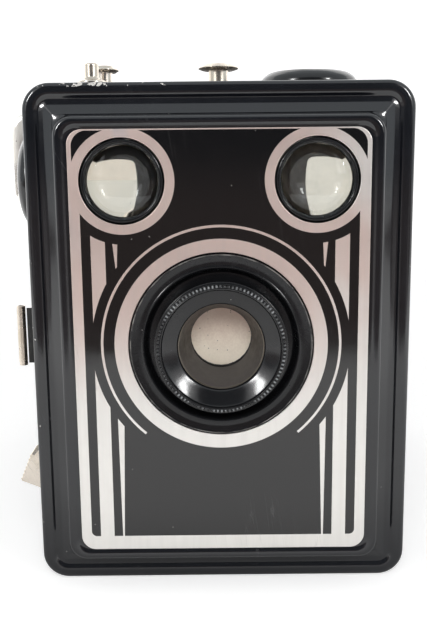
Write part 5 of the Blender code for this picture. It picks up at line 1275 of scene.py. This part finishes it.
class BOXCAM_OT_stage(bpy.types.Operator):
    """Make the floor, the backdrop, the soft light and the camera of the photograph"""

    bl_idname = "boxcam.stage"
    bl_label = "Stage"

    def execute(self, context):
        stage = context.scene.box_camera_stage
        self.floor()
        self.shade_card()
        self.world(context.scene, stage)
        self.soft_boxes(stage)
        self.camera(context.scene, stage)
        return {"FINISHED"}

    def floor(self):
        """A floor that turns up into a backdrop: depth and height follow a quarter circle."""
        radius, foot, top, half_width = 0.8, 1.2, 3.5, 9.0
        turn = np.linspace(0.0, math.pi / 2, 24)
        depth = np.concatenate([[-half_width, 0.0], foot + radius * np.sin(turn), [foot + radius]])
        height = np.concatenate([[0.0, 0.0], radius * (1.0 - np.cos(turn)), [top]])
        finish = Finish("Pale floor", Base_Color=(0.90,) * 3, Roughness=0.9, Emission_Color=(1.0,) * 3)
        x, y, _ = finish.axes()
        # painted shadow and light in reflections: glossy rays see the floor's glow dimmed round the camera
        # body, a painted contact shadow, and raised far to the sides, a painted light
        away = (abs(x) - 43.0).most(abs(y) - 58.0).ramp(-5.0, 55.0)
        painted_side_light = abs(x).ramp(120.0, 260.0)
        camera, glossy, through = light_path(finish.tree)
        gloss = glossy * (1.0 - through) * (painted_side_light * 0.9 + away)
        glow = camera.most(through).most(gloss)
        finish.set(Emission_Strength=glow * (y.ramp(250.0, 1300.0) * 0.3 + 0.47))
        stage_sheet("floor", np.linspace(-half_width, half_width, 9), depth, height, finish)

    def shade_card(self):
        """A glowing card before the camera, dark as a room would be, that only glossy surfaces see: a painted
        reflection.

        It leans back from the floor and then stands up; warm and lighter at its foot, cool and dark above.
        """
        finish = Finish("Shade card", Base_Color=(0.02,) * 3, Emission_Strength=1.0)
        finish.set(Emission_Color=finish.layers(
            (0.21, 0.16, 0.15), (finish.axes()[2].ramp(50.0, 115.0), (0.055, 0.062, 0.075))))
        card = stage_sheet("shade_card", np.array([-1.0, 1.0]), np.array([-0.29, -0.75, -0.80, -0.80]),
                           np.array([0.001, 0.12, 0.20, 0.95]), finish)
        card.visible_camera = False
        card.visible_diffuse = False
        card.visible_shadow = False
        card.visible_transmission = False

    def world(self, scene, stage):
        """White where it is seen, directly or in metal and glass, and a plain fill everywhere else."""
        scene.world = bpy.data.worlds.new("Studio")
        scene.world.use_nodes = True
        tree = scene.world.node_tree
        background = tree.nodes["Background"]
        camera, glossy, through = light_path(tree)
        tone = blend_colour(tree, glossy, (1.0, 1.0, 1.0), (0.90, 0.96, 1.0))
        feed(tree, background.inputs["Color"], tone)
        seen = camera.most(glossy).most(through)
        feed(tree, background.inputs["Strength"], seen * (1.0 - stage.fill) + stage.fill)

    def soft_boxes(self, stage):
        """A soft box with a brighter core at each side, and a wide one above the photographer."""
        boxes = []
        for side in (-1.0, 1.0):
            boxes.append(((side * 0.494, -0.580, 0.393), (0.30, 0.50), stage.box_power, True, True))
            boxes.append(((side * 0.488, -0.573, 0.390), (0.075, 0.19), stage.core_power, False, True))
        boxes.append(((0.0, -0.592, 0.356), (0.36, 0.18), stage.front_power, True, False))
        aim = Vector((0.0, -0.05, 0.055))
        for place, size, watts, lights_matt, lights_gloss in boxes:
            light = bpy.data.lights.new("soft_box", "AREA")
            light.shape = "RECTANGLE"
            light.size = size[0]
            light.size_y = size[1]
            light.energy = watts
            obj = bpy.data.objects.new("soft_box", light)
            bpy.context.scene.collection.objects.link(obj)
            obj.location = place
            obj.rotation_mode = "QUATERNION"
            obj.rotation_quaternion = (aim - obj.location).to_track_quat("-Z", "Y")
            obj.visible_camera = False
            obj.visible_diffuse = lights_matt
            obj.visible_glossy = lights_gloss
            obj.visible_transmission = lights_gloss

    def camera(self, scene, stage):
        """The photograph's viewpoint."""
        aside = 0.15 * MM
        data = bpy.data.cameras.new("viewpoint")
        data.lens = stage.lens
        data.sensor_width = 36.0
        data.shift_x = stage.shift
        data.shift_y = stage.rise
        data.clip_start = 0.01
        data.dof.use_dof = False
        obj = bpy.data.objects.new("viewpoint", data)
        scene.collection.objects.link(obj)
        obj.location = (-aside, PLATE_Y - stage.distance, stage.eye_height)
        tilt = Euler((math.pi / 2 - stage.pitch, 0.0, 0.0)).to_matrix()
        obj.rotation_euler = (tilt @ Matrix.Rotation(stage.roll, 3, "Z")).to_euler()
        scene.camera = obj
        scene.view_settings.view_transform = "Standard"


# ---- panel and registration ------------------------------------------------------------------------
OPERATORS = (
    BOXCAM_OT_stage,
    BOXCAM_OT_frame,
    BOXCAM_OT_plate,
    BOXCAM_OT_lens,
    BOXCAM_OT_finders,
    BOXCAM_OT_top,
    BOXCAM_OT_side,
    BOXCAM_OT_body,
    BOXCAM_OT_door,
)


class BOXCAM_PT_panel(bpy.types.Panel):
    """Lists the makers of the box camera's pieces"""

    bl_label = "Box camera"
    bl_idname = "BOXCAM_PT_panel"
    bl_space_type = "VIEW_3D"
    bl_region_type = "UI"
    bl_category = "Box camera"

    def draw(self, context):
        for operator in OPERATORS:
            self.layout.operator(operator.bl_idname)


SETTINGS = {
    "box_camera_pattern": BoxCameraPattern,
    "box_camera_sizes": BoxCameraSizes,
    "box_camera_colours": BoxCameraColours,
    "box_camera_stage": BoxCameraStage,
}


def register():
    for group in SETTINGS.values():
        bpy.utils.register_class(group)
    for name, group in SETTINGS.items():
        setattr(bpy.types.Scene, name, PointerProperty(type=group))
    for operator in OPERATORS:
        bpy.utils.register_class(operator)
    bpy.utils.register_class(BOXCAM_PT_panel)


def unregister():
    bpy.utils.unregister_class(BOXCAM_PT_panel)
    for operator in reversed(OPERATORS):
        bpy.utils.unregister_class(operator)
    for name in SETTINGS:
        delattr(bpy.types.Scene, name)
    for group in reversed(list(SETTINGS.values())):
        bpy.utils.unregister_class(group)


def main():
    """Register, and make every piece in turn."""
    register()
    make_finishes()
    for operator in OPERATORS:
        area, name = operator.bl_idname.split(".")
        getattr(getattr(bpy.ops, area), name)()


if __name__ == "__main__":
    main()
